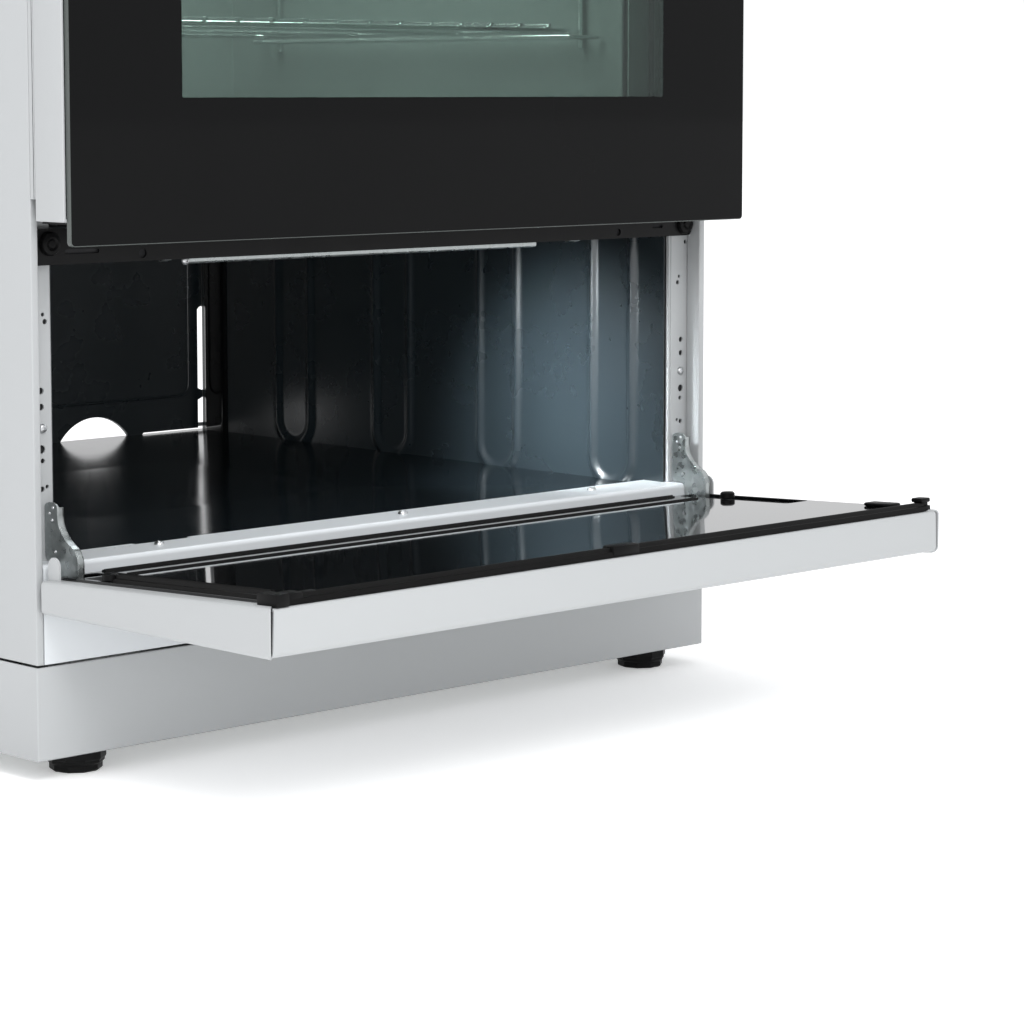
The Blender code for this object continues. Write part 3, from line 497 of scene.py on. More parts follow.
def folded(path, along, start, end, thickness=SHEET, radius=0.002):
    """Bent sheet: a (y, z), (x, z) or (x, y) path with rounded folds, drawn out along an axis."""
    bends = fillet(path, radius)
    place = {
        "X": lambda a, b, c: (c, a, b),
        "Y": lambda a, b, c: (a, c, b),
        "Z": lambda a, b, c: (a, b, c),
    }[along]
    return solid_sheet(grid_mesh([[place(a, b, c) for a, b in bends] for c in (start, end)]),
                       thickness)


def turned(profile, centre=(0.0, 0.0, 0.0), along="Z", sides=32):
    """A turned piece: (radius, height) points from its top centre down its outer side."""
    shape = bmesh.new()
    rings = []
    for radius, height in profile:
        if radius < 1e-7:
            rings.append([shape.verts.new((0.0, 0.0, height))] * sides)
            continue
        angles = [2 * math.pi * i / sides for i in range(sides)]
        rings.append([shape.verts.new((radius * math.cos(a), radius * math.sin(a), height))
                      for a in angles])
    for upper, lower in zip(rings, rings[1:]):
        for i in range(sides):
            j = (i + 1) % sides
            corners = []
            for vert in (upper[i], lower[i], lower[j], upper[j]):
                if vert not in corners:
                    corners.append(vert)
            if len(corners) > 2:
                shape.faces.new(corners)
    bmesh.ops.recalc_face_normals(shape, faces=shape.faces)
    mesh = written(shape, bpy.data.meshes.new("turned"))
    mesh.transform(Matrix.Translation(centre) @ AXIS_TURN[along])
    return mesh


def block(low, high, radius=0.0, segments=2):
    """A block between two corners with rounded edges."""
    shape = bmesh.new()
    bmesh.ops.create_cube(shape, size=1.0)
    bmesh.ops.scale(shape, vec=Vector(high) - Vector(low), verts=shape.verts)
    bmesh.ops.translate(shape, vec=(Vector(low) + Vector(high)) / 2, verts=shape.verts)
    if radius:
        bmesh.ops.bevel(shape, geom=shape.edges, offset=radius, segments=segments, profile=0.5,
                        affect="EDGES", clamp_overlap=True)
    return written(shape, bpy.data.meshes.new("block"))


def joined(meshes):
    """One mesh of several."""
    shape = bmesh.new()
    for mesh in meshes:
        shape.from_mesh(mesh)
    return written(shape, bpy.data.meshes.new("joined"))


def soften(obj, width, segments):
    """Rounded edges and smooth shading over them."""
    bevel = obj.modifiers.new("rounded", "BEVEL")
    bevel.width = width
    bevel.segments = segments
    bevel.limit_method = "ANGLE"
    bevel.angle_limit = math.radians(SHARP_ANGLE)
    bevel.use_clamp_overlap = True
    bevel.miter_outer = "MITER_ARC"


def piece(name, mesh, body, material, stands_for=(), rounding=0.0, angle=SHARP_ANGLE, segments=3):
    """A finished piece: its mesh in the cabinet's frame, its body and material."""
    if isinstance(mesh, list):
        mesh = joined(mesh)
    mesh.name = name
    mesh.materials.append(MATERIALS[material])
    mesh.shade_smooth()
    mesh.set_sharp_from_angle(angle=math.radians(angle))
    obj = linked(name, mesh)
    obj.location = CABINET
    if rounding:
        soften(obj, rounding, segments)
    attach(obj, body)
    if stands_for:
        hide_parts(*stands_for)


def dress(node, material, rounding):
    """A CAD node that keeps its shape: its material, welded and rounded edges."""
    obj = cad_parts[node]
    obj.data.materials.clear()
    obj.data.materials.append(MATERIALS[material])
    if "custom_normal" in obj.data.attributes:
        obj.data.attributes.remove(obj.data.attributes["custom_normal"])
    weld = obj.modifiers.new("weld", "WELD")
    weld.merge_threshold = WELD
    if rounding:
        soften(obj, rounding, 3)
    smooth = obj.modifiers.new("shading", "EDGE_SPLIT")
    smooth.split_angle = math.radians(SHARP_ANGLE)
    obj.data.shade_smooth()


# ---------------------------------------------------------------- CAD nodes that keep their shape
DRESSED = {
    "white_paint": ("side_panel_left", "side_panel_right", "plinth", "control_fascia",
                    "rear_riser", "door_frame"),
    "grey_enamel": ("oven_liner", "oven_floor_plate", "door_inner_panel"),
    "frame_enamel": ("oven_front_frame",),
    "hob_enamel": ("hob_tray",),
    "inner_glass": ("door_inner_glass",),
    "galvanised": ("base_plate", "door_hinge_left", "door_hinge_right"),
    "bare_steel": ("oven_burner", "knob_stem_1", "knob_stem_2", "knob_stem_3", "knob_stem_4",
                   "knob_stem_5"),
    "satin_aluminium": ("gas_rail", "door_handle"),
    "cast_iron": ("grate_left", "grate_right"),
    "mineral_wool": ("oven_insulation",),
}
ROUNDING = {
    "plinth": 0.0010, "side_panel_left": 0.0009, "side_panel_right": 0.0009,
    "control_fascia": 0.0016, "rear_riser": 0.0012, "door_frame": 0.0011, "hob_tray": 0.0022,
    "oven_liner": 0.0010, "oven_floor_plate": 0.0008, "door_handle": 0.0012,
    "grate_left": 0.0018, "grate_right": 0.0018, "door_hinge_left": 0.0006,
    "door_hinge_right": 0.0006,
}


def kept_nodes():
    """Materials and rounded edges for the CAD nodes that are shown as they are."""
    for material, nodes in DRESSED.items():
        for node in nodes:
            dress(node, material, ROUNDING.get(node, 0.0))


# ---------------------------------------------------------------- fixings
def pan_head(radius, height):
    """Profile of a screw's domed head with the recess of its cross."""
    return [(0.0, height * 0.55), (radius * 0.22, height * 0.60), (radius * 0.34, height * 0.97),
            (radius * 0.70, height * 0.86), (radius * 0.93, height * 0.50), (radius, 0.0),
            (0.0, 0.0)]


def screws(name, along, places, radius, height=0.0021, sides=18, away=False):
    """Screw heads on a face whose normal is +z, -y or +x, or on one turned away from it."""
    heads = []
    for place in places:
        head = turned(pan_head(radius, height), (0.0, 0.0, 0.0), along, sides)
        head.transform(Matrix.Translation(place) @ (TURN_ROUND if away else Matrix.Identity(4)))
        heads.append(head)
    piece(name, heads, "cabinet", "bare_steel")


# ---------------------------------------------------------------- front posts
# inset from the cabinet's side, height and radius of each hole
POST_PATTERN = (
    (0.0174, 0.2868, 0.0013), (0.0189, 0.2824, 0.0017), (0.0152, 0.2401, 0.0021),
    (0.0152, 0.2302, 0.0021), (0.0152, 0.2041, 0.0027), (0.0159, 0.1970, 0.0016),
    (0.0189, 0.1809, 0.0013), (0.0152, 0.1796, 0.0018), (0.0110, 0.3120, 0.0016),
)
POST_SCREW = (0.0160, 0.2170)
POST_SHIFT = {"left": 0.0, "right": -0.0040}


def posts():
    """Folded posts beside the openings, with their row of punched holes and one screw."""
    face, low, high = POST_LOW.y, POST_LOW.z, POST_HIGH.z
    inner = POST_LOW.x + 0.0022
    middle, behind = face + SHEET / 2, face + SHEET + 0.0006
    for side, sign in SIDES:
        across = sorted((sign * inner, sign * POST_HIGH.x))
        edge = HALF - POST_SHIFT[side]
        loops = [rectangle(*across, low, high)]
        for inset, height, radius in POST_PATTERN:
            if edge - inset - radius > inner + 0.0005:
                loops.append(circle((sign * (edge - inset), height), radius, 14))
        bend_x = sign * (POST_LOW.x + SHEET / 2)
        bend = folded([(sign * inner, middle), (bend_x, middle), (bend_x, face + 0.0034)],
                      "Z", low, high, SHEET * 0.98 * -sign, 0.0018)
        piece(f"post_{side}", [plate(loops, "Y", face, face + SHEET), bend], "cabinet",
              "white_paint", [f"front_post_{side}"])
        piece(f"post_inside_{side}", block((across[0], behind, low),
                                           (across[1], behind + GAP_SHADE, high)),
              "cabinet", "gap_shadow")
        screws(f"post_screw_{side}", "Y", [(sign * (edge - POST_SCREW[0]), face, POST_SCREW[1])],
               0.0030)


# ---------------------------------------------------------------- storage compartment
BEAD_PITCH, BEAD_FIRST, BEAD_COUNT = 0.1228, 0.0690, 4
BEAD_RADIUS, BEAD_WIDTH, BEAD_HEIGHT, BEAD_FOOT = 0.0205, 0.0056, 0.0030, 0.1300
WALL_STEP = 0.0022
SMOOTH_ANGLE = 60.0
PIPE_X, PIPE_Z, PIPE_RADIUS = 0.159, 0.1069, 0.0436
PIPE_FOOT = 0.1120
BACK_SHEET_Y = 0.5600
FLOOR_DISH, CREASE_REACH = 0.0032, 0.150


def bead_height(y, z):
    """Height of the wall's pressed beads: upright loops, open at the top."""
    nearest = min(range(BEAD_COUNT), key=lambda i: abs(y - BEAD_FIRST - i * BEAD_PITCH))
    across = y - BEAD_FIRST - nearest * BEAD_PITCH
    below = min(0.0, z - BEAD_FOOT - BEAD_RADIUS)
    away = abs(math.hypot(across, below) - BEAD_RADIUS)
    if away >= BEAD_WIDTH:
        return 0.0
    return BEAD_HEIGHT * 0.5 * (1 + math.cos(math.pi * away / BEAD_WIDTH))


def compartment_walls():
    """Side walls with their pressed beads, and the rounded posts in the rear corners."""
    rise, start = WALL_HIGH.z - WALL_LOW.z, POST_LOW.y + 0.0036
    run = BACK_SHEET_Y - start
    tall, deep = round(rise / WALL_STEP), round(run / WALL_STEP)
    levels = [WALL_HIGH.z - rise * i / tall for i in range(tall + 1)]
    depths = [start + run * j / deep for j in range(deep + 1)]
    for side, sign in SIDES:
        wall = grid_mesh([[(sign * (WALL_HIGH.x - SHEET - bead_height(y, z)), y, z)
                           for y in depths] for z in levels])
        piece(f"compartment_side_{side}", solid_sheet(wall, THIN_SHEET * sign), "cabinet",
              "black_enamel", [f"compartment_wall_{side}"], angle=SMOOTH_ANGLE)
        path = [(sign * (WALL_HIGH.x - inset), WALL_HIGH.y - back) for inset, back in
                ((0.0016, 0.0380), (0.0046, 0.0340), (0.0050, 0.0120), (0.0022, 0.0080))]
        post = folded(path, "Z", WALL_LOW.z + 0.0002, WALL_HIGH.z, THIN_SHEET * -sign, 0.0050)
        piece(f"compartment_corner_{side}", post, "cabinet", "mirror_enamel")


def pipe_arch(level):
    """The gas pipe's opening above a level, from left to right."""
    start = math.asin((level - PIPE_Z) / PIPE_RADIUS)
    return arc((PIPE_X, PIPE_Z), PIPE_RADIUS, math.pi - start, start, 24)


def compartment_back():
    """Dark rear sheet with a pressed border, the gas pipe's hole and gaps round its edge."""
    wide, slit = WALL_HIGH.x - 0.0016, WALL_HIGH.x - 0.0064
    foot, top = FLOOR_HIGH.z + 0.0006, WALL_HIGH.z
    joint = foot + 0.0017
    # from the lower left: the pipe's arch, a gap over the floor, then two slits up the right side
    loop = [(-wide, foot)] + pipe_arch(foot)
    loop += [(0.2080, foot), (0.2100, joint), (slit, joint), (slit, 0.1580), (wide, 0.1600),
             (wide, 0.1660), (slit, 0.1680), (slit, 0.2360), (wide, 0.2400), (wide, top),
             (-wide, top)]
    back = plate([loop], "Y", BACK_SHEET_Y, BACK_SHEET_Y + THIN_SHEET)
    edge, low = 0.2588, 0.1625
    corners = [(-edge, top - 0.002), (-edge, low), (edge, low), (edge, top - 0.002)]
    border = fillet(corners, 0.012, 6)
    ridge = tube([(x, BACK_SHEET_Y + 0.0004, z) for x, z in border], 0.0014, smooth=False)
    piece("compartment_rear", [back, ridge], "cabinet", "black_enamel")


def floor_height(x, y):
    """The floor is cross-broken: four faint slopes that meet in creases."""
    inset = min(x - FLOOR_LOW.x, FLOOR_HIGH.x - x, y - SILL_HIGH.y, FLOOR_HIGH.y - y)
    return -FLOOR_DISH * min(1.0, max(0.0, inset / CREASE_REACH))


def compartment_floor():
    """Cross-broken floor sheet, its mesh fine enough for the creases."""
    columns, rows = 110, 105
    wide, deep = FLOOR_HIGH.x - FLOOR_LOW.x, FLOOR_HIGH.y - FLOOR_LOW.y
    xs = [FLOOR_LOW.x + wide * j / columns for j in range(columns + 1)]
    ys = [FLOOR_LOW.y + deep * i / rows for i in range(rows, -1, -1)]
    mesh = grid_mesh([[(x, y, FLOOR_HIGH.z + floor_height(x, y)) for x in xs] for y in ys])
    piece("compartment_base", solid_sheet(mesh, THIN_SHEET), "cabinet", "floor_enamel",
          ["compartment_floor"], angle=SMOOTH_ANGLE)


# ---------------------------------------------------------------- sill and rail
def sill():
    """Folded strip under the opening: rounded edge, screws, punched hole and a notched rear."""
    top, rear, fold = SILL_HIGH.z, SILL_HIGH.y, 0.0030
    left, right = SILL_LOW.x, SILL_HIGH.x
    notch = [(-0.200, rear), (-0.200, rear - 0.004), (-0.155, rear - 0.004), (-0.155, rear)]
    upper = [(left, fold), (right, fold), (right, rear)] + notch[::-1] + [(left, rear)]
    slots = [rectangle(x, x + 0.008, 0.0275, 0.0295, 0.0009, 3) for x in (-0.226, -0.214)]
    deck = plate([upper] + slots, "Z", top - SHEET, top)
    oval = rectangle(0.0128, 0.0208, top - 0.0135, top - 0.0095, 0.0018, 4)
    pins = [circle((0.2895, top - down), radius, 10)
            for down, radius in ((0.0075, 0.0011), (0.0125, 0.0013))]
    face = plate([rectangle(left, right, SILL_LOW.z, top - fold), oval] + pins, "Y", 0.0, SHEET)
    # the sill takes the lighter copy of the white paint, painted light for its lit deck and face
    piece("sill", [deck, face], "cabinet", "white_trim", ["lower_front"])
    quarter = arc((fold, top - fold), fold, math.pi / 2, math.pi, 8)
    inner = arc((fold, top - fold), fold - SHEET, math.pi, math.pi / 2, 8)
    piece("sill_edge", plate([quarter + inner], "X", left, right), "cabinet", "white_trim")
    piece("sill_inside", block((left + 0.01, SHEET + 0.0005, SILL_LOW.z + 0.002),
                               (right - 0.001, SHEET + 0.0005 + GAP_SHADE, top - 0.004)),
          "cabinet", "gap_shadow")
    screws("sill_screws", "Z", [(x, 0.0215, top) for x in (-0.189, 0.020, 0.204)], 0.0034)


def rail():
    """Black cross rail over the compartment with its slots, holes and buffers."""
    left, right, front = RAIL_LOW.x, RAIL_HIGH.x, RAIL_LOW.y
    low, high = RAIL_LOW.z, RAIL_HIGH.z
    loops = [rectangle(left, right, low, high, 0.004, 4),
             rectangle(-0.269, -0.243, low + 0.0062, low + 0.0092, 0.0014, 3),
             circle((-0.2095, low + 0.0048), 0.0030, 14),
             circle((0.217, low + 0.0045), 0.0026, 14),
             rectangle(0.2525, 0.2635, low + 0.0062, low + 0.0088, 0.0012, 3)]
    face = plate(loops, "Y", front, front + SHEET)
    lip = plate([rectangle(left + 0.004, right - 0.004, front + SHEET, RAIL_HIGH.y)], "Z",
                low, low + SHEET)
    piece("rail", [face, lip], "cabinet", "rail_paint", ["oven_rail"])
    behind = front + 0.0018
    piece("rail_inside", block((left + 0.003, behind, low + 0.0013),
                               (right - 0.003, behind + GAP_SHADE, high - 0.001)),
          "cabinet", "gap_shadow")
    buffer = [(0.0, 0.0040), (0.0024, 0.0038), (0.0030, 0.0030), (0.0044, 0.0036),
              (0.0066, 0.0030), (0.0074, 0.0014), (0.0074, 0.0), (0.0, 0.0)]
    piece("rail_buffers", [turned(buffer, (x, front, low + up), "Y", 24)
                           for x, up in ((-0.2805, 0.0130), (0.2860, 0.0085))],
          "cabinet", "rubber_black")


def cross_strip():
    """Galvanised brace behind the rail, its edge just showing below it."""
    face = 0.032
    path = [(face + 0.010, 0.3300), (face, 0.3270), (face, 0.3125), (face + 0.004, 0.3118)]
    tab = [(face, 0.3260), (face, 0.3150), (face + 0.005, 0.3140)]
    strips = [folded(path, "X", -0.155, 0.158, THIN_SHEET, 0.0015)]
    strips += [folded(tab, "X", left, right, THIN_SHEET, 0.001)
               for left, right in ((-0.175, -0.168), (0.192, 0.202))]
    piece("oven_brace", strips, "cabinet", "galvanised")
    screws("oven_brace_screw", "Y", [(-0.158, face - 0.0006, 0.3145)], 0.0030)


# ---------------------------------------------------------------- storage flap
RIM_REAR, RIM_FRONT = 0.1248, PAN_HIGH.z
PAN_REACH = PAN_HIGH.y - PAN_LOW.y
FLAP_TILT = math.atan2(RIM_FRONT - RIM_REAR, PAN_REACH)
ON_FLAP = Matrix.Translation((0.0, PAN_HIGH.y, RIM_REAR)) @ Matrix.Rotation(-FLAP_TILT, 4, "X")
FLANGE, RIM_WIDTH, PAN_CORNER, PAN_SHEET = 0.020, 0.0105, 0.0028, 0.0011


def rim(y):
    """Height of the open flap's rim at a depth."""
    return RIM_REAR + (PAN_HIGH.y - y) * math.tan(FLAP_TILT)


def on_flap(mesh):
    """A mesh modelled on the flap's rim plane, y running from 0 at its rear to the front."""
    mesh.transform(ON_FLAP)
    return mesh


# (inset, share of height) round the pan's wall: rim, wall and underside, corners rounded
PAN_PROFILE = ((RIM_WIDTH, 1.0), (0.0015, 1.0), (0.0007, 0.985), (0.0002, 0.960), (0.0, 0.925),
               (0.0, 0.12), (0.0004, 0.065), (0.0012, 0.025), (PAN_CORNER, 0.0), (FLANGE, 0.0))


def pan_height(share, y):
    """Height in the pan's wall, as a share of its way from the underside to the rim."""
    return PAN_LOW.z + (rim(y) - PAN_LOW.z) * share


def seam_gap(share):
    """Width of the corner seam, which opens towards the rim."""
    return 0.0004 + 0.0009 * share ** 1.5


def flap_pan():
    """White pressed pan: front and side walls folded up, with an open seam at each corner."""
    half, front, rear, base = PAN_HIGH.x, PAN_LOW.y, PAN_HIGH.y, PAN_LOW.z
    rows = []
    for inset, share in PAN_PROFILE:
        y = front + inset
        end = half - SHEET - max(0.0, inset - PAN_CORNER) - seam_gap(share)
        rows.append([(x, y, pan_height(share, y)) for x in (end, 0.0, -end)])
    parts = [solid_sheet(grid_mesh(rows), PAN_SHEET)]
    for sign in (-1, 1):
        rows = []
        for inset, share in PAN_PROFILE:
            ends = (front + inset, rear) if sign > 0 else (rear, front + inset)
            rows.append([(sign * (half - inset), y, pan_height(share, y)) for y in ends])
        parts.append(solid_sheet(grid_mesh(rows), PAN_SHEET))
    parts.append(plate([rectangle(-half + FLANGE, half - FLANGE, front + FLANGE, rear)], "Z",
                       base, base + PAN_SHEET))
    parts.append(plate([rectangle(-half + SHEET, half - SHEET, base + PAN_SHEET,
                                  RIM_REAR - 0.0004)], "Y", rear - SHEET, rear))
    ear = [(-0.0048, RIM_REAR - 0.002)] + arc((-0.0105, 0.1350), 0.0057, 0.0, math.pi, 10)
    ear.append((-0.0162, RIM_REAR - 0.001))
    seams = []
    for sign in (-1, 1):
        parts.append(plate([ear], "X", sign * (half - 0.0052), sign * (half - 0.0040)))
        left, right = sorted((sign * (half - 0.0040), sign * (half - 0.0014)))
        seams.append(block((left, front + 0.0014, base + 0.0016),
                           (right, front + 0.0020, RIM_FRONT - 0.0012)))
    piece("flap_shell", parts, "storage_flap", "white_paint", ["flap_pan"])
    piece("flap_seams", seams, "storage_flap", "gap_shadow")


PANEL_HALF, PANEL_REAR, PANEL_FRONT, PANEL_LIFT = 0.2880, -0.0020, -0.2050, 0.0030
ARM_SLOT = (0.2620, 0.2860, -0.1110, -0.0060)


def flap_panel():
    """Black enamelled inner panel, a little proud of the rim, open over the hinge arms."""
    inner, outer, front, rear = ARM_SLOT
    edge = 0.0008
    outline = rectangle(-PANEL_HALF, PANEL_HALF, PANEL_FRONT, PANEL_REAR, 0.004)
    within = rectangle(-PANEL_HALF + edge, PANEL_HALF - edge, PANEL_FRONT + edge,
                       PANEL_REAR - edge, 0.0035)
    loops, wells = [outline], []
    for sign in (-1, 1):
        loops.append(rectangle(*sorted((sign * inner, sign * outer)), front, rear, 0.0040))
        across = sorted((sign * (inner - 0.002), sign * (outer + 0.001)))
        well = rectangle(*across, front - 0.004, rear + 0.002)
        wells.append(on_flap(plate([well], "Z", -0.0160, -0.0150)))
    under = PANEL_LIFT - THIN_SHEET
    piece("flap_inner_panel", [on_flap(plate(loops, "Z", under, PANEL_LIFT)),
                               on_flap(plate([outline, within], "Z", 0.0002, under))],
          "storage_flap", "mirror_enamel", ["flap_panel"])
    piece("flap_wells", wells, "storage_flap", "gap_shadow")


def ribbed_strip(start, end, width, height, ribs=4):
    """Rubber seal strip on the rim plane, with ribs running its length."""
    start, end = Vector(start), Vector(end)
    along = (end - start).normalized()
    across = Vector((-along.y, along.x, 0.0))
    steps = ribs * 6
    rows = []
    for i in range(steps + 1):
        t = i / steps
        dome = math.sin(math.pi * t) ** 0.35 if 0 < t < 1 else 0.0
        rib = 0.0007 * math.cos(2 * math.pi * ribs * t) if dome > 0.5 else 0.0
        offset = across * (t - 0.5) * width + Vector((0, 0, max(0.0, height * dome + rib)))
        rows.append([start + offset, end + offset])
    shape = bmesh.new()
    shape.from_mesh(grid_mesh(rows))
    bmesh.ops.holes_fill(shape, edges=[e for e in shape.edges if e.is_boundary])
    bmesh.ops.recalc_face_normals(shape, faces=shape.faces)
    return written(shape, bpy.data.meshes.new("strip"))


def bumper(x, y, size, height, base):
    """Moulded rubber block with a narrower neck, on the rim plane."""
    parts = []
    for share, low, high, radius in ((1.0, 0.0, 0.42, 0.0006), (0.72, 0.40, 0.70, 0.0003),
                                     (1.0, 0.66, 1.0, 0.0009)):
        half = size / 2 * share
        parts.append(block((x - half, y - half, base + height * low),
                           (x + half, y + half, base + height * high), radius))
    return parts


def flap_trim():
    """Rubber seals, clips and bumpers round the inner panel."""
    lift, front = 0.0003, -PAN_REACH + 0.0075
    strips = [ribbed_strip((-0.2795, -0.0430, PANEL_LIFT), (-0.2795, -0.1960, PANEL_LIFT), 0.0120,
                           0.0042),
              ribbed_strip((-0.2880, front, lift), (0.2890, front, lift), 0.0088, 0.0056, 3)]
    strips += [ribbed_strip((-0.2560, y, PANEL_LIFT), (0.2560, y, PANEL_LIFT), width, height, ribs)
               for y, width, height, ribs in ((-0.0058, 0.0050, 0.0009, 2),
                                              (-0.0300, 0.0030, 0.0008, 1))]
    stop = [(0.0, 0.0052), (0.0040, 0.0050), (0.0052, 0.0040), (0.0052, 0.0008), (0.0044, 0.0),
            (0.0, 0.0)]
    blocks = [turned(stop, (x, -0.0490, PANEL_LIFT), "Z", 24) for x in (-0.2830, 0.2680)]
    blocks += bumper(0.2915, front + 0.0020, 0.0095, 0.0090, lift)
    blocks += [block(low, high, radius) for low, high, radius in (
        ((-0.2935, -0.2165, lift), (-0.2835, -0.1990, 0.0080), 0.0008),
        ((-0.2830, -0.2130, lift), (-0.2700, -0.2010, 0.0075), 0.0020),
        ((-0.2700, -0.2110, lift), (-0.2560, -0.2020, 0.0066), 0.0026),
        ((-0.0200, -0.2140, lift), (0.0040, -0.2030, 0.0074), 0.0016),
        ((-0.0130, -0.2060, PANEL_LIFT), (-0.0030, -0.1990, 0.0062), 0.0010),
        ((0.2755, -0.1930, PANEL_LIFT), (0.2875, -0.1690, 0.0056), 0.0022))]
    piece("flap_seals", [on_flap(m) for m in strips], "storage_flap", "seal_black", angle=30.0)
    piece("flap_bumpers", [on_flap(m) for m in blocks], "storage_flap", "rubber_black")


# ---------------------------------------------------------------- flap arms
ARM_TOP, ARM_CENTRE, ARM_HALF = 0.1692, 0.2815, 0.0024
ARM_FRONT = ((-0.0010, ARM_TOP), (-0.0010, 0.1590), (-0.0080, 0.1500), (-0.0185, 0.1445),
             (-0.0216, 0.1385), (-0.0216, 0.1262))
ARM_REAR = ((0.0122, ARM_TOP), (0.0122, 0.1358), (-0.0006, 0.1352), (-0.0006, 0.1262))
RIVETS = ((0.0036, 0.1690), (0.0072, 0.1652), (0.0044, 0.1612), (0.0015, 0.1420))


def flap_arms():
    """Pressed channel arms: a broad web with its front edge turned over."""
    front, rear = fillet(ARM_FRONT, 0.0090, 8), fillet(ARM_REAR, 0.0040, 4)
    reach = (rear[0][0] - front[0][0]) / 2
    cap = [(front[0][0] + reach * (1 + math.cos(a)), front[0][1] + 0.0030 * math.sin(a))
           for a in [math.pi * i / 12 for i in range(1, 12)]]
    outline = front + rear[::-1] + cap
    edge = front + [(y + SHEET, z + 0.0002) for y, z in front[::-1]]
    flange = front + [(y + 0.0050, z - 0.0010) for y, z in front[::-1]]
    for side, sign in SIDES:
        left, right = sorted((sign * (ARM_CENTRE - ARM_HALF), sign * (ARM_CENTRE + ARM_HALF)))
        parts = [plate([outline], "X", left, left + SHEET),
                 plate([edge], "X", left + 0.0011, right),
                 plate([flange], "X", right - 0.0010, right)]
        piece(f"arm_{side}", parts, "cabinet", "galvanised", [f"flap_arm_{side}"],
              rounding=0.0004, angle=45.0, segments=2)
        screws(f"arm_rivets_{side}", "X", [(left, y, z) for y, z in RIVETS], 0.0011, 0.0007, 14,
               away=True)


# ---------------------------------------------------------------- oven door
WINDOW_HALF, WINDOW_LOW, WINDOW_HIGH, WINDOW_CORNER = 0.2135, 0.4185, 0.6900, 0.0008
HINGE_LEVEL = 0.3578
EDGE, SLACK = 0.0007, 0.00005


def door_glass():
    """Outer pane: black printed border, clear window and ground edges."""
    front, rear = GLASS_LOW.y, GLASS_HIGH.y
    x0, x1, z0, z1 = GLASS_LOW.x, GLASS_HIGH.x, GLASS_LOW.z, GLASS_HIGH.z
    outer = rectangle(x0, x1, z0, z1, 0.0030, 5)
    within = rectangle(x0 + EDGE, x1 - EDGE, z0 + EDGE, z1 - EDGE, 0.0024, 5)
    opening = rectangle(-WINDOW_HALF, WINDOW_HALF, WINDOW_LOW, WINDOW_HIGH, WINDOW_CORNER, 2)
    pane = rectangle(-WINDOW_HALF + SLACK, WINDOW_HALF - SLACK, WINDOW_LOW + SLACK,
                     WINDOW_HIGH - SLACK, WINDOW_CORNER, 2)
    piece("door_glass_border", plate([within, opening], "Y", front, rear), "oven_door",
          "black_glass", ["door_outer_glass"])
    piece("door_window", plate([pane], "Y", front + 0.0001, rear - 0.0001), "oven_door",
          "window_glass")
    piece("door_glass_edge", plate([outer, within], "Y", front + 0.0002, rear), "oven_door",
          "glass_edge", rounding=0.0002)


def door_details():
    """Inner window seal, white rear edges, and the vented plates between the hinges below."""
    half, low, high = 0.2335, 0.3985, 0.7100
    ring = [rectangle(-half + inset, half - inset, low + inset, high - inset, 0.004)
            for inset in (0.0, 0.005)]
    piece("door_pane_seal", plate(ring, "Y", -0.0110, -0.0099), "oven_door", "rubber_black")
    strips = [block((sign * 0.2994 - 0.0006, -0.0055, HINGE_LEVEL),
                    (sign * 0.2994 + 0.0006, -0.0006, FRAME_HIGH.z), 0.0003)
              for sign in (-1, 1)]
    piece("door_rear_edges", strips, "oven_door", "white_paint")
    base = FRAME_LOW.z - 0.0014
    covers = [plate([rectangle(left, right, -0.0335, -0.0070)], "Z", base, base + 0.0011)
              for left, right in ((-0.2960, -0.2560), (-0.2440, 0.2440), (0.2560, 0.2960))]
    vents = [block((0.040 * i - 0.011, -0.0240, base - 0.0012),
                   (0.040 * i + 0.011, -0.0200, base), 0.0004) for i in range(-5, 6)]
    piece("door_underside", covers + vents, "oven_door", "rail_paint")


# ---------------------------------------------------------------- oven inside
def wire(start, end, radius, resolution=3):
    """A straight wire between two points."""
    return tube([start, end], radius, smooth=False, resolution=resolution)


def oven_rack():
    """Wire shelf: frame, cross bars and the bars that run front to back over them."""
    x0, x1 = RACK_LOW.x + 0.0025, RACK_HIGH.x - 0.0025
    y0, y1 = RACK_LOW.y + 0.0025, RACK_HIGH.y - 0.0025
    level, upper = RACK_LOW.z + 0.0004, RACK_LOW.z + 0.0036
    wires = [tube([(x, y, level) for x, y in rectangle(x0, x1, y0, y1, 0.012, 5)], 0.0020,
                  cyclic=True, smooth=False)]
    for i in (1, 2):
        y = y0 + (y1 - y0) * i / 3
        wires.append(wire((x0, y, level), (x1, y, level), 0.0018))
    for i in range(1, 15):
        x = x0 + (x1 - x0) * i / 15
        wires.append(wire((x, y0 - 0.0024, upper), (x, y1 + 0.0012, upper), 0.0015, 2))
    piece("oven_shelf", wires, "oven_rack", "chrome_wire", ["oven_rack"])


def rack_guides():
    """Ladder of wire runners on each side of the oven."""
    for side, sign in SIDES:
        low, high = span(f"rack_guide_{side}")
        wall = sign * (max(abs(low.x), abs(high.x)) - 0.0028)
        inner = sign * (min(abs(low.x), abs(high.x)) + 0.0020)
        wires = [wire((wall, y, low.z + 0.018), (wall, y, high.z - 0.002), 0.0024)
                 for y in (low.y + 0.020, high.y - 0.020)]
        for level in range(5):
            z = low.z + 0.0255 + 0.055 * level
            runner = [(wall, low.y + 0.0025, z), (inner, low.y + 0.010, z),
                      (inner, high.y - 0.010, z), (wall, high.y - 0.0025, z)]
            wires.append(tube(runner, 0.0019, smooth=False))
        piece(f"shelf_guide_{side}", wires, "cabinet", "chrome_wire", [f"rack_guide_{side}"])


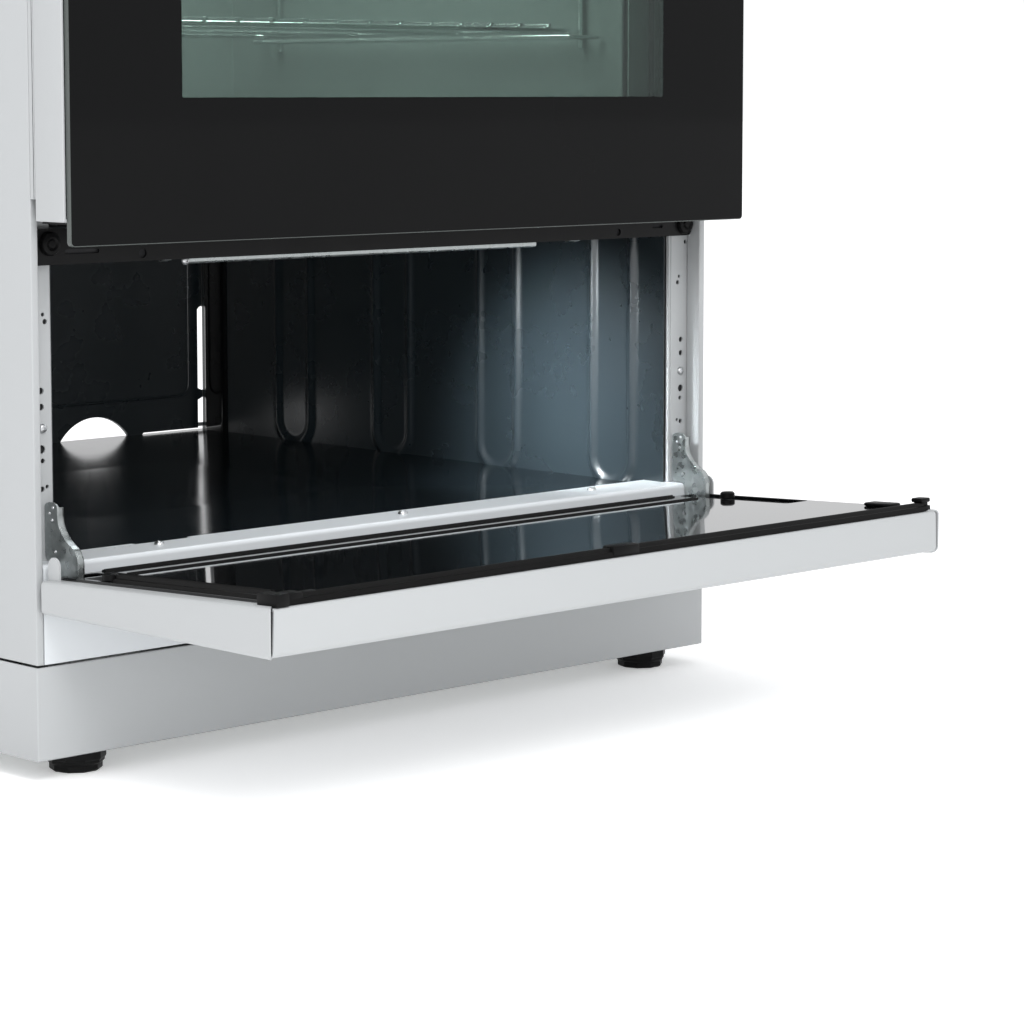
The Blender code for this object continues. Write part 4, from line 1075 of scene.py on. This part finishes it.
def oven_details():
    """Door seal, and the lamp's glass and ring on the rear wall."""
    low, high = span("oven_gasket")
    inset = 0.0046
    ring = rectangle(low.x + inset, high.x - inset, low.z + inset, high.z - inset, 0.022, 8)
    piece("oven_seal", tube([(x, low.y + 0.0062, z) for x, z in ring], 0.0044, cyclic=True,
                            smooth=False), "cabinet", "rubber_black", ["oven_gasket"])
    lamp = (0.150, LINER_HIGH.y - 0.0026, 0.690)
    cover = [(0.0, 0.0120), (0.0160, 0.0105), (0.0230, 0.0060), (0.0250, 0.0), (0.0, 0.0)]
    collar = [(0.0250, 0.0030), (0.0300, 0.0026), (0.0310, 0.0), (0.0250, 0.0)]
    piece("oven_lamp_cover", turned(cover, lamp, "Y", 28), "cabinet", "inner_glass")
    piece("oven_lamp_ring", turned(collar, lamp, "Y", 28), "cabinet", "bare_steel")


# ---------------------------------------------------------------- controls
def knobs():
    """Turned skirt with a raised grip bar and a pointer line, and the dial's marks round it."""
    skirt_shape = ((0.0, 0.46), (0.60, 0.46), (0.78, 0.42), (0.90, 0.20), (0.985, 0.05),
                   (0.985, 0.0), (0.0, 0.0))
    marks = []
    for number in range(1, 6):
        node = f"knob_{number}"
        centre, r, low, high = round_span(node)
        x, z, base, tall = centre.x, centre.z, high.y, high.y - low.y
        skirt = turned([(r * a, tall * b) for a, b in skirt_shape], (x, base, z), "Y", 48)
        grip = block((x - 0.0055, base - tall, z - r * 0.86),
                     (x + 0.0055, base - tall * 0.40, z + r * 0.86), 0.0022, 3)
        piece(f"knob_grip_{number}", [skirt, grip], node, "knob_plastic", [node])
        line = block((x - 0.0007, base - tall - 0.0001, z + r * 0.20),
                     (x + 0.0007, base - tall + 0.0008, z + r * 0.74), 0.0002)
        piece(f"knob_line_{number}", line, node, "mark_white")
        for i in range(9):
            size = 0.0011 if i % 4 else 0.0017
            a = math.radians(90.0 - 33.75 * i)
            spot = (x + (r + 0.0042) * math.cos(a), FASCIA_FACE, z + (r + 0.0042) * math.sin(a))
            marks.append(turned([(0.0, 0.00012), (size, 0.0001), (size, 0.0), (0.0, 0.0)], spot,
                                "Y", 14))
    piece("dial_marks", marks, "cabinet", "mark_grey")


# ---------------------------------------------------------------- hob
def toothed(centre, radius, depth, count):
    """Outline of a burner crown with its gas ports."""
    points = []
    for i in range(count):
        for part, r in ((0.0, radius), (0.62, radius), (0.68, radius - depth),
                        (0.94, radius - depth)):
            angle = 2 * math.pi / count * (i + part)
            points.append((centre[0] + r * math.cos(angle), centre[1] + r * math.sin(angle)))
    return points


def burners():
    """Base ring, ported crown, cap and igniter of each burner."""
    deck, up = HOB_DECK, 0.0050
    pin = [(0.0, 0.0108), (0.0009, 0.0104), (0.0009, 0.0078), (0.0030, 0.0074), (0.0034, 0.0),
           (0.0, 0.0)]
    for name in CORNERS:
        head, cap = f"burner_head_{name}", f"burner_cap_{name}"
        centre, r, low, high = round_span(head)
        x, y = centre.x, centre.y
        base = turned([(r * 0.80, deck + up), (r, deck + 0.0042), (r, deck + 0.0016),
                       (r * 0.90, deck + 0.0004), (r * 0.80, deck + 0.0004)], (x, y, 0.0), "Z", 56)
        crown = plate([toothed((x, y), r * 0.95, 0.0028, 20 + 2 * round(r * 500))], "Z",
                      deck + up, high.z)
        piece(f"burner_crown_{name}", [base, crown], "cabinet", "burner_alloy", [head])
        aside = (high.x - x + 0.0075) * 0.7071
        centre, r, low, high = round_span(cap)
        dome = [(0.0, high.z), (r * 0.62, high.z - 0.0001), (r * 0.90, high.z - 0.0010),
                (r * 0.985, high.z - 0.0026), (r, low.z + 0.0018), (r * 0.97, low.z), (0.0, low.z)]
        piece(f"burner_top_{name}", turned(dome, (x, y, 0.0), "Z", 56), cap, "cast_iron", [cap])
        piece(f"igniter_{name}", turned(pin, (x + aside, y + aside, deck), "Z", 18), "cabinet",
              "mark_white")


def grate_feet():
    """Rubber pads under the corners of each grate."""
    pad, inset = [(0.0, 0.0030), (0.0046, 0.0030), (0.0050, 0.0), (0.0, 0.0)], 0.0062
    for side in ("left", "right"):
        low, high = span(f"grate_{side}")
        pads = [turned(pad, (x, y, HOB_DECK + 0.0001), "Z", 18)
                for x in (low.x + inset, high.x - inset) for y in (low.y + inset, high.y - inset)]
        piece(f"grate_pads_{side}", pads, f"grate_{side}", "rubber_black")


# ---------------------------------------------------------------- back and feet
def back_panel():
    """Rear panel: rows of cooling slots, the pipe's hole, gaps at the compartment, screws."""
    low, high = span("back_panel")
    face, edge = high.y - 0.0016, 0.004
    x0, x1, z0, z1 = low.x, high.x, low.z, high.z
    loops = [rectangle(x0, x1, z0, z1), pipe_arch(PIPE_FOOT)]
    for row in range(6):
        z = 0.560 + 0.028 * row
        for x in [0.062 * column for column in range(-3, 4)]:
            loops.append(rectangle(x - 0.022, x + 0.022, z - 0.0026, z + 0.0026, 0.0025, 4))
    loops += [rectangle(PIPE_X + 0.048, 0.2760, 0.1292, 0.1348),
              rectangle(0.2665, 0.2860, 0.1380, 0.1600), rectangle(0.2665, 0.2860, 0.1660, 0.2380)]
    loops += [rectangle(x - 0.026, x + 0.026, 0.268, 0.273, 0.0024, 4)
              for x in (x0 + 0.1, x1 - 0.1)]
    border = [rectangle(x0, x1, z0, z1), rectangle(x0 + edge, x1 - edge, z0 + edge, z1 - edge)]
    piece("rear_panel", [plate(loops, "Y", face - SHEET, face),
                         plate(border, "Y", face, high.y - 0.0002)],
          "cabinet", "white_paint", ["back_panel"])
    screws("rear_screws", "Y", [(x, face, z) for x in (x0 + 0.012, x0 + 0.20, x1 - 0.20, x1 - 0.012)
                                for z in (z0 + 0.012, 0.33, 0.52, z1 - 0.012)],
           0.0034, 0.0013, 16, away=True)


def feet():
    """Faceted levelling feet: a wide sole, an undercut waist and a threaded stud."""
    gap = PLINTH_FOOT
    crest, root = 0.0050, 0.0042
    for corner in CORNERS:
        node = f"foot_{corner}"
        centre, r, _, high = round_span(node)
        place, top = (centre.x, centre.y, 0.0), high.z
        sole = [(0.0, gap - 0.0002), (r * 0.98, gap - 0.0002)]
        sole += [(r * a, gap * b) for a, b in ((0.98, 0.60), (0.93, 0.52), (0.93, 0.40),
                                               (0.86, 0.32), (0.86, 0.06), (0.80, 0.0), (0.0, 0.0))]
        stud = [(0.0, top), (0.0044, top), (crest, top - 0.001)]
        for i in range(14):
            z = top - 0.002 - 0.0020 * i
            stud += [(crest, z), (root, z - 0.0010)]
        stud += [(root, gap - 0.0002), (0.0, gap - 0.0002)]
        piece(f"foot_sole_{corner}", turned(sole, place, "Z", 10), node, "rubber_black", [node],
              rounding=0.0005, angle=25.0)
        piece(f"foot_stud_{corner}", turned(stud, place, "Z", 20), node, "bare_steel", angle=25.0)


# ---------------------------------------------------------------- assembly
for build in (kept_nodes, posts, compartment_walls, compartment_back, compartment_floor, sill, rail,
              cross_strip, flap_pan, flap_panel, flap_trim, flap_arms, door_glass, door_details,
              oven_rack, rack_guides, oven_details, knobs, burners, grate_feet, back_panel, feet,
              camera, studio, floor):
    build()
bpy.context.scene.view_settings.view_transform = "Standard"

bpy.context.view_layer.update()
